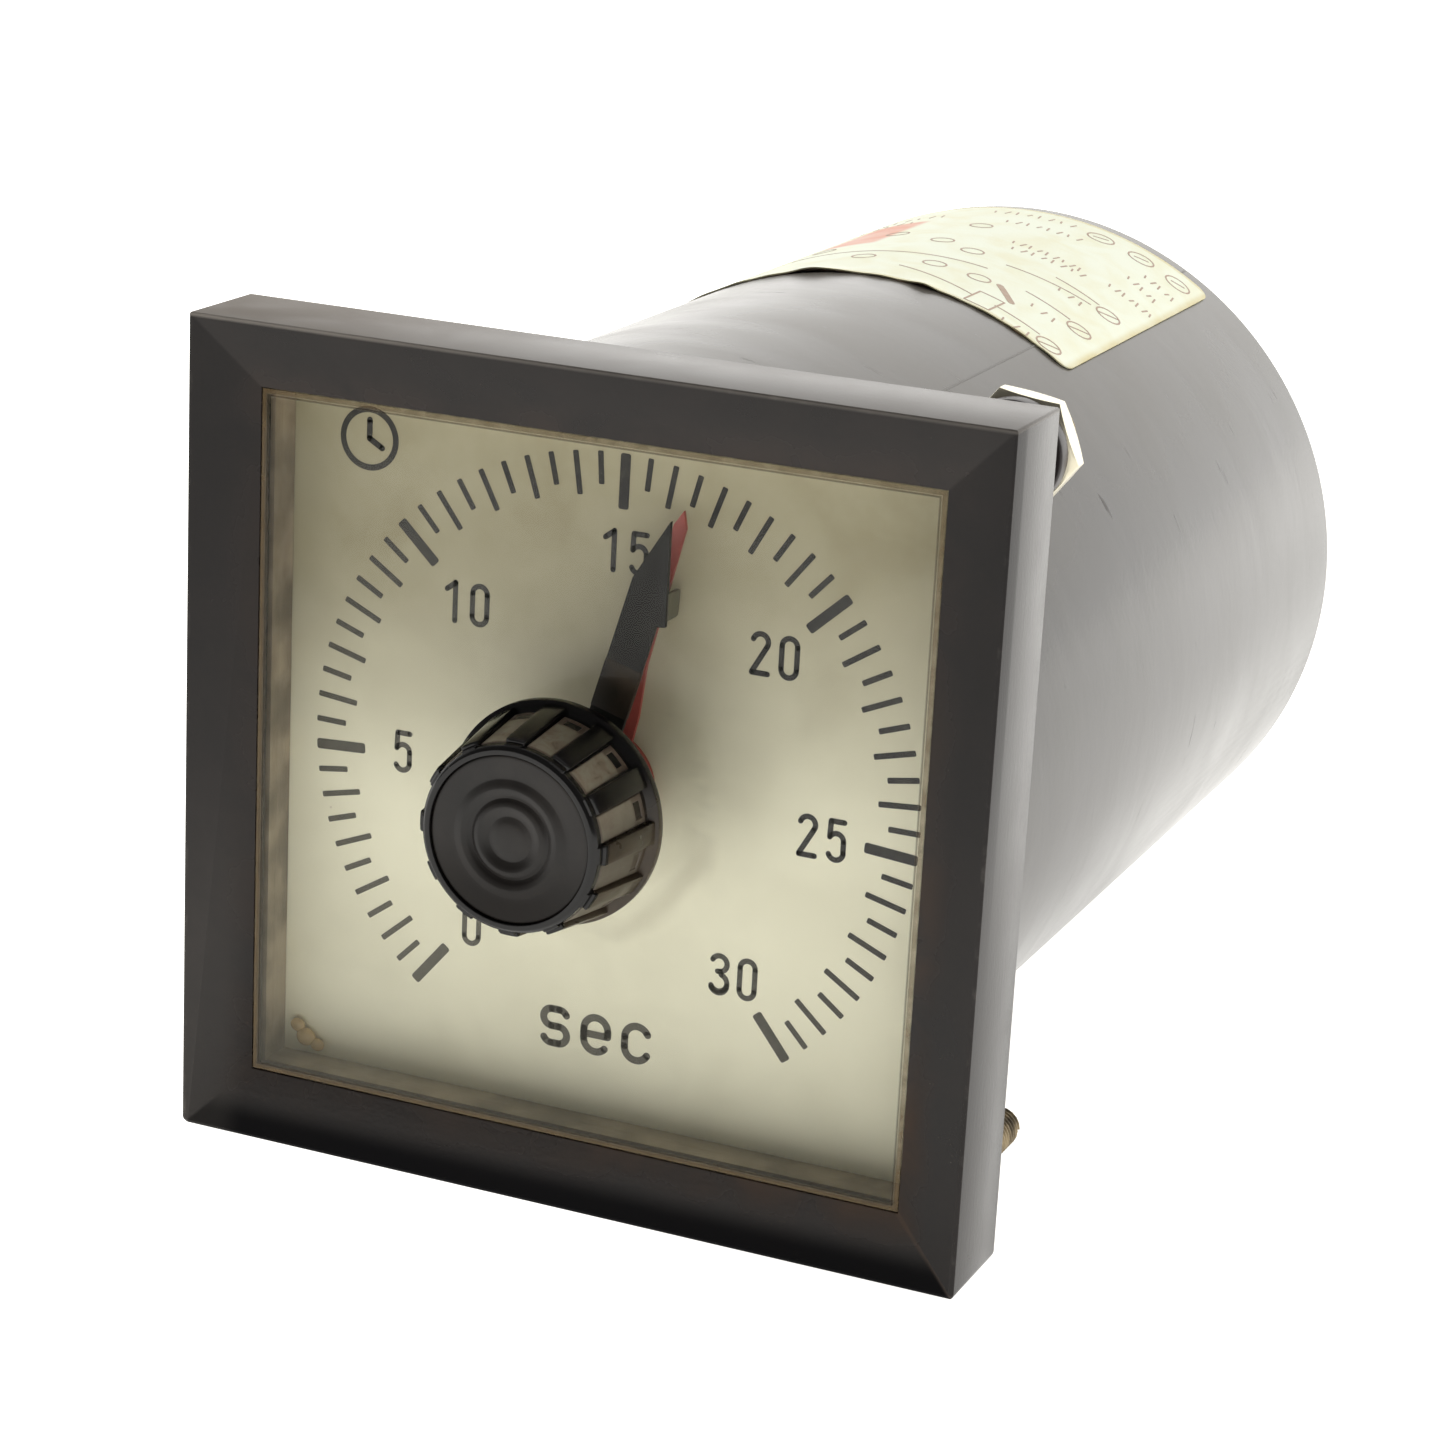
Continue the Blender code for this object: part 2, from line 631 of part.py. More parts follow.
def build_return_spring(axis):
    """Flat strip wound in a spiral round the spindle."""
    steps = int(SPRING_TURNS * 16)
    r_start, r_end = SPRING_R
    y0, y1 = SPRING_Y
    rings = []
    for k in range(steps + 1):
        angle = 360.0 * SPRING_TURNS * k / steps
        radius = r_start + (r_end - r_start) * k / steps
        inner, outer = polar(radius, angle), polar(radius + SPRING_THICK, angle)
        rings.append([(inner[0], y0, inner[1]), (outer[0], y0, outer[1]),
                      (outer[0], y1, outer[1]), (inner[0], y1, inner[1])])
    finish(ring_loop(rings, closed=False), "return_spring", MATERIALS["spring_steel"], parent=axis)


def build_elapsed_group(axis):
    """Slim red pointer on its tube, with the clutch armature behind it."""
    start = math.degrees(math.asin(ELAPSED_ROOT_HALF / ELAPSED_HUB_R))
    outline = hub_arc(ELAPSED_HUB_R, start, 360.0 - start, 28)
    outline += [(14.0, -0.9), (ELAPSED_TIP_R - 1.8, -0.75), (ELAPSED_TIP_R, 0.1),
                (ELAPSED_TIP_R - 1.8, 0.75), (14.0, 0.9)]
    front = place_blade(outline, ELAPSED_REST_DEG, ELAPSED_POINTER_Y[0])
    rear = place_blade(outline, ELAPSED_REST_DEG, ELAPSED_POINTER_Y[1])
    blade = finish(ring_loop([front, rear], closed=False), "elapsed_pointer",
                   MATERIALS["pointer_red"], parent=axis)
    hole = rod(TUBE_R + RUN_GAP, ELAPSED_POINTER_Y[0] - 1.2, ELAPSED_POINTER_Y[1] + 1.3)
    apply_boolean(blade, cutter(hole, "elapsed_hole"))
    finish(tube(TUBE_BORE_R, TUBE_R, *TUBE_Y), "elapsed_tube", MATERIALS["brass"], parent=axis)
    finish(tube(TUBE_R + RUN_GAP, ARMATURE_R, *ARMATURE_Y), "clutch_armature",
           MATERIALS["steel"], parent=axis)


def build_gear_train(clutch_axis, transfer_axis, rotor_axis, motor_xz):
    """Motor pinion, transfer arbor with its wheel and pinion, and the clutch wheel."""
    place = TRANSFER_XZ
    arbor_bore = ARBOR_R + RUN_GAP
    shaft_bore = ROTOR_SHAFT_R + RUN_GAP
    bored_gear("clutch_wheel", WHEEL_MODULE, WHEEL_TEETH, -90.0, TUBE_R + 0.2, CLUTCH_WHEEL_Y,
               MATERIALS["brass"], (0.0, 0.0), clutch_axis)
    finish(rod(ARBOR_R, *ARBOR_Y, segments=24), "transfer_arbor", MATERIALS["steel"], place,
           transfer_axis)
    bored_gear("transfer_pinion", WHEEL_MODULE, PINION_TEETH, 108.0, arbor_bore,
               TRANSFER_PINION_Y, MATERIALS["brass"], place, transfer_axis)
    bored_gear("transfer_wheel", TRANSFER_MODULE, TRANSFER_TEETH, MOTOR_ANGLE, arbor_bore,
               TRANSFER_WHEEL_Y, MATERIALS["brass"], place, transfer_axis)
    bored_gear("motor_pinion", TRANSFER_MODULE, PINION_TEETH, MOTOR_ANGLE + 198.0, shaft_bore,
               MOTOR_PINION_Y, MATERIALS["steel"], motor_xz, rotor_axis)
    finish(rod(ROTOR_SHAFT_R, *ROTOR_SHAFT_Y, segments=24), "rotor_shaft", MATERIALS["steel"],
           motor_xz, rotor_axis)
    finish(tube(shaft_bore, ROTOR_R, *ROTOR_Y), "rotor", MATERIALS["magnet_grey"], motor_xz,
           rotor_axis)


def build_movement_frame(motor_xz):
    """Two plates on four pillars, and the clutch magnet between them."""
    finish(tube(TUBE_R + 0.2, PLATE_R, *FRONT_PLATE_Y), "front_plate", MATERIALS["steel"])
    rear = finish(tube(SPINDLE_R + RUN_GAP, PLATE_R, *REAR_PLATE_Y), "rear_plate",
                  MATERIALS["steel"])
    hole = rod(SHAFT_HOLE_R, REAR_PLATE_Y[0] - 1.0, REAR_PLATE_Y[1] + 1.5, segments=24)
    apply_boolean(rear, cutter(hole, "rotor_shaft_hole", motor_xz))
    for number in range(4):
        place = polar(PILLAR_RADIUS, 45.0 + 90.0 * number)
        finish(rod(PILLAR_R, FRONT_PLATE_Y[1] + GAP, REAR_PLATE_Y[0] - GAP, chamfer=0.3),
               f"pillar_{number + 1}", MATERIALS["brass"], place)
    y0, y1 = POT_Y
    pot = [(POT_R, y0), (POT_R, y1), (SPINDLE_R + 0.4, y1), (SPINDLE_R + 0.4, POT_CORE_Y),
           (POT_CORE_R, POT_CORE_Y), (POT_CORE_R, POT_BASE_Y), (POT_WALL_R, POT_BASE_Y),
           (POT_WALL_R, y0)]
    finish(revolve(pot), "magnet_pot", MATERIALS["steel"])
    finish(tube(*MAGNET_COIL_R, *MAGNET_COIL_Y), "magnet_coil", MATERIALS["copper"])


def build_motor(motor_xz):
    """Round synchronous motor: cup, cover and coil."""
    y0, y1 = MOTOR_Y
    bore = MOTOR_R - MOTOR_WALL
    shell = [(MOTOR_BOSS_R, y0), (MOTOR_R, y0), (MOTOR_R, y1), (bore, y1),
             (bore, y0 + MOTOR_WALL), (MOTOR_BOSS_R, y0 + MOTOR_WALL)]
    finish(revolve(shell), "motor_case", MATERIALS["steel"], motor_xz)
    finish(rod(bore - 0.4, *MOTOR_COVER_Y, segments=20), "motor_cover", MATERIALS["brass"],
           motor_xz)
    finish(tube(*MOTOR_COIL_R, *MOTOR_COIL_Y), "motor_coil", MATERIALS["copper"], motor_xz)


def upright_rod(radius, length, y, z):
    """Vertical rod of twelve sides centred on depth y and height z."""
    bm = bmesh.new()
    bmesh.ops.create_cone(bm, cap_ends=True, segments=12, radius1=radius, radius2=radius,
                          depth=length, matrix=Matrix.Translation((0.0, y, z)))
    return bm


def build_switch(plunger_axis):
    """Snap switch over the cam, with its plunger."""
    body = finish(block(*SWITCH_HALF, *SWITCH_Y, (0.0, SWITCH_Z)), "switch_body",
                  MATERIALS["switch_plastic"])
    add_bevel(body, 0.4)
    y, z = PLUNGER_YZ
    well = upright_rod(PLUNGER_R + GAP, WELL_LENGTH, y, WELL_Z)
    apply_boolean(body, cutter(well, "plunger_well"))
    finish(upright_rod(PLUNGER_R, PLUNGER_LENGTH, y, z), "switch_plunger",
           MATERIALS["cap_black"], parent=plunger_axis)


def build_terminal_screw(number, place):
    """Slotted terminal screw."""
    tip_y, neck_y, top_y = SCREW_Y
    shape = revolve([(0.0, tip_y), (SCREW_R, tip_y), (SCREW_R, neck_y), (SCREW_HEAD_R, neck_y),
                     (SCREW_HEAD_R, top_y - 0.2), (0.0, top_y)], 12)
    head = finish(shape, f"terminal_screw_{number}", MATERIALS["nut_plated"], place)
    slot = block(SCREW_HEAD_R + 0.6, 0.45, SCREW_SLOT_Y, top_y + 1.0)
    apply_boolean(head, cutter(slot, "screw_slot", place))


def build_rear():
    """Terminal base with its ridges, screws and the nuts of the two tie rods."""
    base = finish(rod(CAN_R - CAN_WALL - GAP, *TERMINAL_Y, segments=32), "terminal_base",
                  MATERIALS["terminal_phenolic"])
    ridges = [(0.0, 31.0, 1.5)] + [(x, 1.2, 24.0) for x in RIDGE_X]
    for number, (x, half_x, half_z) in enumerate(ridges):
        offset = 0.01 * number
        ridge = block(half_x, half_z, TERMINAL_Y[1] - 0.5 - offset, RIDGE_END_Y - offset, (x, 0.0))
        apply_boolean(base, cutter(ridge, "terminal_ridge"), "UNION")
    places = [(x, z) for z in TERMINAL_ROWS for x in TERMINAL_COLUMNS]
    for number, place in enumerate(places, start=1):
        hole = rod(TERMINAL_HOLE_R, TERMINAL_HOLE_Y, TERMINAL_Y[1] + 1.6, segments=12)
        apply_boolean(base, cutter(hole, "terminal_hole", place))
        build_terminal_screw(number, place)
    for number, side in enumerate((-1, 1), start=1):
        place = (TIE_ROD_X * side, 0.0)
        hole = rod(TIE_ROD_R + GAP, TERMINAL_Y[0] - 1.0, RIDGE_END_Y + 1.0, segments=12)
        apply_boolean(base, cutter(hole, "tie_rod_hole", place))
        finish(rod(TIE_ROD_R, REAR_PLATE_Y[1] + GAP, TIE_ROD_END_Y, chamfer=0.3, segments=12),
               f"tie_rod_{number}", MATERIALS["steel"], place)
        finish(hex_ring(REAR_NUT_FLATS, TIE_ROD_R + THREAD_GAP, *REAR_NUT_Y, chamfer=0.3),
               f"rear_nut_{number}", MATERIALS["nut_plated"], place)


def main():
    """Build every piece on its axis."""
    transfer = TRANSFER_XZ
    reach = TRANSFER_MODULE * (TRANSFER_TEETH + PINION_TEETH) / 2
    dx, dz = polar(reach, MOTOR_ANGLE)
    motor_xz = (transfer[0] + dx, transfer[1] + dz)
    build_bezel()
    build_window_and_dial()
    build_can_and_label()
    build_mounting_hardware()
    build_setting_group(pivot("setting_axis"))
    build_elapsed_group(pivot("elapsed_axis"))
    build_gear_train(pivot("clutch_axis"), pivot("transfer_axis", *transfer),
                     pivot("rotor_axis", *motor_xz), motor_xz)
    build_movement_frame(motor_xz)
    build_motor(motor_xz)
    build_switch(pivot("plunger_axis"))
    build_rear()


clear_scene()
MATERIALS = build_materials()
main()
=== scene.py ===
"""Looks of a panel-mounting process timer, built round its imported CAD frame.

Lengths are millimetres: x to the right and z upwards from the instrument axis, y backwards
from the bezel's front plane. TO_FRAME turns them into the frame's metres.
"""

import json
import logging
import math
from collections.abc import Callable, Sequence
from dataclasses import dataclass
from enum import Enum

import bmesh
import bpy
from mathutils import Matrix, Vector

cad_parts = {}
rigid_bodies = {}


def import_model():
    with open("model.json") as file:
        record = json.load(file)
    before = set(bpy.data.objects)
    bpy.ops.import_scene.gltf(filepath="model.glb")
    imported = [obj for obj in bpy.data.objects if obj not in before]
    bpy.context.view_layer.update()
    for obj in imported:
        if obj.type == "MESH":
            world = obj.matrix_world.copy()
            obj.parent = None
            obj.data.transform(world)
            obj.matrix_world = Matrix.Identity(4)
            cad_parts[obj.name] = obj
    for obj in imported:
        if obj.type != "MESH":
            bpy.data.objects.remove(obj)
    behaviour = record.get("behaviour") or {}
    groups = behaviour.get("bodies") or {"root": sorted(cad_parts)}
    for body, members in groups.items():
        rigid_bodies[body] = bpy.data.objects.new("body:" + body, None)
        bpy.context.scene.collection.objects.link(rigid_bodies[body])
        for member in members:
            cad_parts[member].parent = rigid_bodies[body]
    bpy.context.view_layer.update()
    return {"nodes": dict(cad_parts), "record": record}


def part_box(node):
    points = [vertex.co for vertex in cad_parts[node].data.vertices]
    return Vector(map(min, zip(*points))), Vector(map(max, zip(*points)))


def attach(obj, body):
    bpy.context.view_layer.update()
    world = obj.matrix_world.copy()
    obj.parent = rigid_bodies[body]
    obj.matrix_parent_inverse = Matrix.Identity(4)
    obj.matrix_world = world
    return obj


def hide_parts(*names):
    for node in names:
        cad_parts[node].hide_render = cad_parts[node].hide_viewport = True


for leftover in list(bpy.data.objects):
    bpy.data.objects.remove(leftover, do_unlink=True)

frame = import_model()
BEZEL_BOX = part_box("bezel")
MM = 0.001
FRONT_Y = BEZEL_BOX[0].y
AXIS_Z = (BEZEL_BOX[0].z + BEZEL_BOX[1].z) / 2
TO_FRAME = Matrix.Translation((0.0, FRONT_Y, AXIS_Z)) @ Matrix.Scale(MM, 4)
CREASE = math.radians(32)

Colour = tuple[float, float, float]
Point = tuple[float, float]
log = logging.getLogger("timer")


# ---------------------------------------------------------------- shader maths


class Signal:
    """A shader socket, on which arithmetic adds Math nodes."""

    def __init__(self, graph: "Graph", socket: bpy.types.NodeSocket) -> None:
        """Wrap one output socket of a graph."""
        self.graph = graph
        self.socket = socket

    def __add__(self, other: "Signal | float") -> "Signal":
        """Sum of two values."""
        return self.graph.maths("ADD", self, other)

    def __sub__(self, other: "Signal | float") -> "Signal":
        """Difference of two values."""
        return self.graph.maths("SUBTRACT", self, other)

    def __rsub__(self, other: float) -> "Signal":
        """Difference from a plain number."""
        return self.graph.maths("SUBTRACT", other, self)

    def __mul__(self, other: "Signal | float") -> "Signal":
        """Product of two values."""
        return self.graph.maths("MULTIPLY", self, other)

    __radd__ = __add__
    __rmul__ = __mul__

    def size(self) -> "Signal":
        """Value without its sign."""
        return self.graph.maths("ABSOLUTE", self)

    def least(self, other: "Signal | float") -> "Signal":
        """Smaller of two values."""
        return self.graph.maths("MINIMUM", self, other)

    def most(self, other: "Signal | float") -> "Signal":
        """Larger of two values."""
        return self.graph.maths("MAXIMUM", self, other)

    def held(self) -> "Signal":
        """Value kept between 0 and 1."""
        return self.graph.maths("MAXIMUM", self.least(1.0), 0.0)

    def ramp(self, start: float, end: float) -> "Signal":
        """Smooth step of this value.

        Args:
            start: where the step is still 0.
            end: where it has reached 1; it may lie below start.

        Returns:
            A value from 0 to 1.
        """
        node = self.graph.node(
            "ShaderNodeMapRange",
            {"interpolation_type": "SMOOTHSTEP"},
            {0: self, 1: min(start, end), 2: max(start, end)},
        )
        stepped = Signal(self.graph, node.outputs[0])
        return stepped if start < end else 1.0 - stepped


Value = Signal | float


class Graph:
    """The node tree of one new material."""

    def __init__(self, name: str) -> None:
        """Start an empty tree with its output node."""
        self.material = bpy.data.materials.new(name)
        self.material.use_nodes = True
        self.tree = self.material.node_tree
        self.tree.nodes.clear()
        self.output = self.node("ShaderNodeOutputMaterial")

    def node(
        self, kind: str, settings: dict | None = None, sockets: dict | None = None
    ) -> bpy.types.Node:
        """Add a node.

        Args:
            kind: the node's type name.
            settings: attributes to set first, such as an operation.
            sockets: a value or a Signal for each named or numbered input.

        Returns:
            The new node.
        """
        made = self.tree.nodes.new(kind)
        for key, setting in (settings or {}).items():
            setattr(made, key, setting)
        for key, value in (sockets or {}).items():
            if isinstance(value, Signal):
                self.tree.links.new(value.socket, made.inputs[key])
            else:
                made.inputs[key].default_value = value
        return made

    def out(self, node: bpy.types.Node, output: int = 0) -> Signal:
        """Wrap one output of a node."""
        return Signal(self, node.outputs[output])

    def maths(self, operation: str, first: Value, second: Value = 0.0) -> Signal:
        """Add a Math node on one or two values."""
        return self.out(
            self.node("ShaderNodeMath", {"operation": operation}, {0: first, 1: second})
        )

    def place(self) -> Signal:
        """Point on the piece in millimetres from the axis and the bezel's front."""
        where = self.node("ShaderNodeTexCoord").outputs["Object"]
        sockets = {
            "Vector": Signal(self, where),
            "Location": (0.0, -FRONT_Y / MM, -AXIS_Z / MM),
            "Scale": (1 / MM, 1 / MM, 1 / MM),
        }
        return self.out(self.node("ShaderNodeMapping", sockets=sockets))

    def stretched(
        self, vector: Signal, scale: Colour, turn: Colour = (0.0, 0.0, 0.0)
    ) -> Signal:
        """Turn and scale a vector.

        Args:
            vector: the point to change.
            scale: factor along each axis.
            turn: turn about each axis, in degrees.

        Returns:
            The changed point.
        """
        sockets = {
            "Vector": vector,
            "Scale": scale,
            "Rotation": tuple(math.radians(a) for a in turn),
        }
        return self.out(self.node("ShaderNodeMapping", sockets=sockets))

    def axes(self, vector: Signal) -> tuple[Signal, Signal, Signal]:
        """Split a vector into x, y and z."""
        node = self.node("ShaderNodeSeparateXYZ", sockets={0: vector})
        return self.out(node, 0), self.out(node, 1), self.out(node, 2)

    def noise(
        self, vector: Signal, size: float, detail: float = 3.0, warp: float = 0.0
    ) -> Signal:
        """Cloudy noise from 0 to 1.

        Args:
            vector: the point in millimetres.
            size: typical width of a blotch in millimetres.
            detail: number of finer layers.
            warp: how far the pattern is stirred.

        Returns:
            The noise value.
        """
        sockets = {
            "Vector": vector,
            "Scale": 1 / size,
            "Detail": detail,
            "Distortion": warp,
        }
        return self.out(self.node("ShaderNodeTexNoise", sockets=sockets))

    def specks(self, vector: Signal, spacing: float, radius: float) -> Signal:
        """Round specks, 1 inside and 0 outside.

        Args:
            vector: the point in millimetres.
            spacing: mean distance between specks.
            radius: radius of a speck.

        Returns:
            The mask.
        """
        node = self.node(
            "ShaderNodeTexVoronoi", sockets={"Vector": vector, "Scale": 1 / spacing}
        )
        return self.out(node).ramp(radius / spacing, radius / spacing * 0.5)

    def mix(self, share: Value, first: Colour | Signal, second: Colour | Signal) -> Signal:
        """Blend two colours.

        Args:
            share: 0 gives the first colour and 1 the second.
            first: a colour.
            second: another colour.

        Returns:
            The blended colour.
        """
        sockets = {0: share}
        for key, colour in ((6, first), (7, second)):
            sockets[key] = colour if isinstance(colour, Signal) else (*colour, 1.0)
        node = self.node("ShaderNodeMix", {"data_type": "RGBA"}, sockets)
        return self.out(node, 2)

    def bump(self, height: Signal, depth: float, below: Signal | None = None) -> Signal:
        """Relief in the normal.

        Args:
            height: relief from 0 to 1.
            depth: full height in millimetres.
            below: a normal that the relief adds to.

        Returns:
            The new normal.
        """
        sockets = {"Height": height, "Distance": depth * MM, "Strength": 1.0}
        if below is not None:
            sockets["Normal"] = below
        return self.out(self.node("ShaderNodeBump", sockets=sockets))

    def principled(self, sockets: dict) -> Signal:
        """Add a Principled shader with a value or Signal for each named input."""
        ready = {
            key: (*value, 1.0) if key.endswith("Color") and isinstance(value, tuple) else value
            for key, value in sockets.items()
        }
        return self.out(self.node("ShaderNodeBsdfPrincipled", sockets=ready))

    def over(self, share: Value, under: Signal, top: Signal) -> Signal:
        """Lay one shader over another by a share from 0 to 1."""
        return self.out(self.node("ShaderNodeMixShader", sockets={0: share, 1: under, 2: top}))

    def finish(self, shader: Signal) -> bpy.types.Material:
        """Show a shader as the surface and hand over the material."""
        self.tree.links.new(shader.socket, self.output.inputs["Surface"])
        return self.material

    def surface(self, sockets: dict) -> bpy.types.Material:
        """Finish the material with one Principled shader.

        Args:
            sockets: a value or Signal for each named input.

        Returns:
            The material.
        """
        return self.finish(self.principled(sockets))


# ---------------------------------------------------------------- finishes


@dataclass(frozen=True)
class Finish:
    """What every finish has: a name, a main colour and a roughness."""

    name: str
    colour: Colour
    roughness: float

    def paint(self) -> bpy.types.Material:
        """Build the material; each kind of finish has its own way."""
        raise NotImplementedError

    def material(self) -> bpy.types.Material:
        """The material, built when it is first asked for."""
        return bpy.data.materials.get(f"{self.name}_finish") or self.paint()


@dataclass(frozen=True)
class Moulding(Finish):
    """Moulded plastic: slight clouding, dust in specks and a faint grain; painted shade can dim it
    low down.
    """

    dust: Colour = (0.25, 0.23, 0.2)
    clouding: float = 0.35
    grain: float = 0.012
    grain_size: float = 0.5
    ior: float = 1.5
    # Share of a matte film, growing towards the bottom, that dims the piece: painted shade.
    handled: float = 0.0

    def paint(self) -> bpy.types.Material:
        """Build the moulded plastic.

        Returns:
            The material.
        """
        graph = Graph(f"{self.name}_finish")
        place = graph.place()
        cloud = graph.noise(place, 7.0, 4.0)
        dusty = graph.noise(place, 16.0, 2.0).ramp(0.5, 0.75)
        specks = graph.specks(place, 2.6, 0.09) * dusty
        dark = tuple(c * (1 - self.clouding) for c in self.colour)
        light = tuple(c * (1 + self.clouding) for c in self.colour)
        colour = graph.mix(cloud.ramp(0.3, 0.7), dark, light)
        colour = graph.mix(specks * 0.5, colour, self.dust)
        fine = graph.noise(place, self.grain_size, 2.0)
        moulded = graph.principled(
            {
                "Base Color": colour,
                "Roughness": self.roughness + 0.12 * cloud - 0.06 + 0.15 * specks,
                "IOR": self.ior,
                "Normal": graph.bump(fine, self.grain),
            }
        )
        if not self.handled:
            return graph.finish(moulded)
        # Painted shade: a matte film with no reflection dims the lower part of the piece.
        _, _, z = graph.axes(place)
        film = graph.principled({"Base Color": self.colour, "Specular IOR Level": 0.0})
        low = z.ramp(1.0, -8.5) * (0.7 + 0.6 * cloud)
        return graph.finish(graph.over((low * self.handled).held(), moulded, film))


@dataclass(frozen=True)
class BezelPlastic(Finish):
    """Black moulded bezel with brown residue round the opening, rubbed edges, painted shade on the
    front of its bars and dust on top that is partly painted shade.
    """

    residue: Colour = (0.055, 0.032, 0.02)
    rubbed: Colour = (0.11, 0.1, 0.09)
    dust: Colour = (0.24, 0.22, 0.2)
    opening: float = 40.2
    edge: float = 48.0

    def paint(self) -> bpy.types.Material:
        """Build the bezel's plastic.

        Returns:
            The material.
        """
        graph = Graph(f"{self.name}_finish")
        place = graph.place()
        x, y, z = graph.axes(place)
        reach = x.size().most(z.size())
        cloud = graph.noise(place, 8.0, 4.0, 0.4)
        front = y.ramp(3.4, 2.6)
        near_opening = reach.ramp(self.opening + 4.5, self.opening) * front
        low_right = (x - z).ramp(10.0, 78.0)
        residue = near_opening * (0.25 + 0.75 * low_right) * cloud.ramp(0.2, 0.75)
        mitre = (x.size() - z.size()).size().ramp(0.55, 0.1) * front * low_right
        dark = tuple(c * 0.8 for c in self.colour)
        light = tuple(c * 1.3 for c in self.colour)
        colour = graph.mix(cloud.ramp(0.25, 0.75), dark, light)
        colour = graph.mix((residue + 0.5 * mitre).held(), colour, self.residue)
        rim = reach.ramp(self.edge - 0.6, self.edge - 0.3) * y.ramp(0.4, 0.1)
        chips = graph.noise(place, 2.6, 3.0).ramp(0.5, 0.8)
        colour = graph.mix(rim * chips * 0.4, colour, self.rubbed)
        long_scratch = graph.noise(graph.stretched(place, (0.05, 1.0, 0.05)), 0.25, 2.0)
        specks = graph.specks(place, 3.2, 0.1) * graph.noise(place, 12.0).ramp(0.45, 0.65)
        colour = graph.mix(specks * 0.5, colour, (0.3, 0.27, 0.22))
        roughness = self.roughness + 0.14 * cloud - 0.07 + 0.25 * residue
        fine = graph.noise(place, 0.45, 2.0)
        normal = graph.bump(fine, 0.012)
        normal = graph.bump(long_scratch, 0.01, normal)
        moulded = graph.principled(
            {
                "Base Color": colour,
                "Roughness": roughness.held(),
                "IOR": 1.34,
                "Normal": normal,
            }
        )
        # Painted shade: a near-black matte film takes the reflection off the front of the side
        # bars, most at their upper part, and off the outer part of the bottom bar.
        upright = (x.size() - z.size()).ramp(-0.3, 0.3) * z.ramp(-25.0, 30.0)
        foot = (z * -1.0 - x.size()).ramp(-0.3, 0.3) * z.ramp(-42.8, -46.0)
        shade_film = graph.principled({"Base Color": (0.006, 0.006, 0.007), "Specular IOR Level": 0.0})
        with_painted_shade = graph.over(front * (0.3 * upright + 0.9 * foot), moulded, shade_film)
        # Dust on the top face, more towards the left end, where it is also painted shade that dims
        # the top's reflection; a little dust low on the left of the front face lightens it and is
        # partly painted light.
        dust_and_painted_light = z.ramp(self.edge - 0.6, self.edge - 0.2) * (0.38 + 0.55 * x.ramp(5.0, -40.0))
        dust_and_painted_light = dust_and_painted_light + 0.08 * front * x.ramp(-40.0, -44.0) * z.ramp(0.0, -30.0)
        dust = graph.principled({"Base Color": self.dust, "Specular IOR Level": 0.0})
        return graph.finish(graph.over(dust_and_painted_light * (0.8 + 0.4 * cloud), with_painted_shade, dust))


@dataclass(frozen=True)
class WindowPlastic(Finish):
    """Clear cover: a thin veil of dust, smears round the knob and a brown rim."""

    grime: Colour = (0.17, 0.12, 0.065)
    half: float = 40.1
    mirror: float = 0.009

    def paint(self) -> bpy.types.Material:
        """Build the clear plastic.

        Returns:
            The material.
        """
        graph = Graph(f"{self.name}_finish")
        place = graph.place()
        x, y, z = graph.axes(place)
        radius = graph.maths("SQRT", x * x + z * z)
        reach = x.size().most(z.size())
        cloud = graph.noise(place, 15.0, 4.0, 0.6)
        smear = graph.noise(graph.stretched(place, (0.35, 1.0, 1.0), (0.0, 35.0, 0.0)), 6.0, 3.0)
        low = z.ramp(10.0, -40.0) * (0.6 + 0.4 * x.ramp(22.0, -34.0))
        haze = 0.004 + 0.1 * low * (0.6 + 0.8 * cloud) + 0.03 * smear.ramp(0.45, 0.8)
        swirl = (radius - 15.0 - 6.0 * (cloud - 0.5)).size().ramp(2.4, 0.2)
        swirl = swirl * x.ramp(-4.0, 10.0) * smear.ramp(0.42, 0.62)
        specks = graph.specks(place, 4.0, 0.09) * cloud.ramp(0.45, 0.6)
        blotch = graph.noise(place, 2.2, 4.0, 0.5)
        rim = reach.ramp(self.half - 0.65, self.half - 0.45)
        line = (reach - (self.half - 0.7)).size().ramp(0.2, 0.05)
        front = y.ramp(3.0, 2.8)
        veil = haze + 0.16 * swirl + 0.4 * specks
        veil = veil.most(rim * (0.35 + 0.6 * blotch)).most(line * 0.6)
        brown = rim.most(swirl * 0.8)
        colour = graph.mix(brown.held(), self.colour, self.grime)
        colour = graph.mix(line, colour, (0.05, 0.035, 0.02))
        clear = graph.out(graph.node("ShaderNodeBsdfTransparent"))
        dusty = graph.principled(
            {"Base Color": colour, "Roughness": 0.7, "Specular IOR Level": 0.0}
        )
        shine = graph.principled(
            {"Base Color": (1.0, 1.0, 1.0), "Metallic": 1.0, "Roughness": self.roughness}
        )
        edge_on = graph.node("ShaderNodeLayerWeight", sockets={"Blend": 0.5})
        gloss = self.mirror + graph.maths("POWER", graph.out(edge_on, 1), 5.0) * 0.9
        veiled = graph.over((veil * (0.1 + 0.9 * front)).held(), clear, dusty)
        return graph.finish(graph.over((gloss * front).held(), veiled, shine))


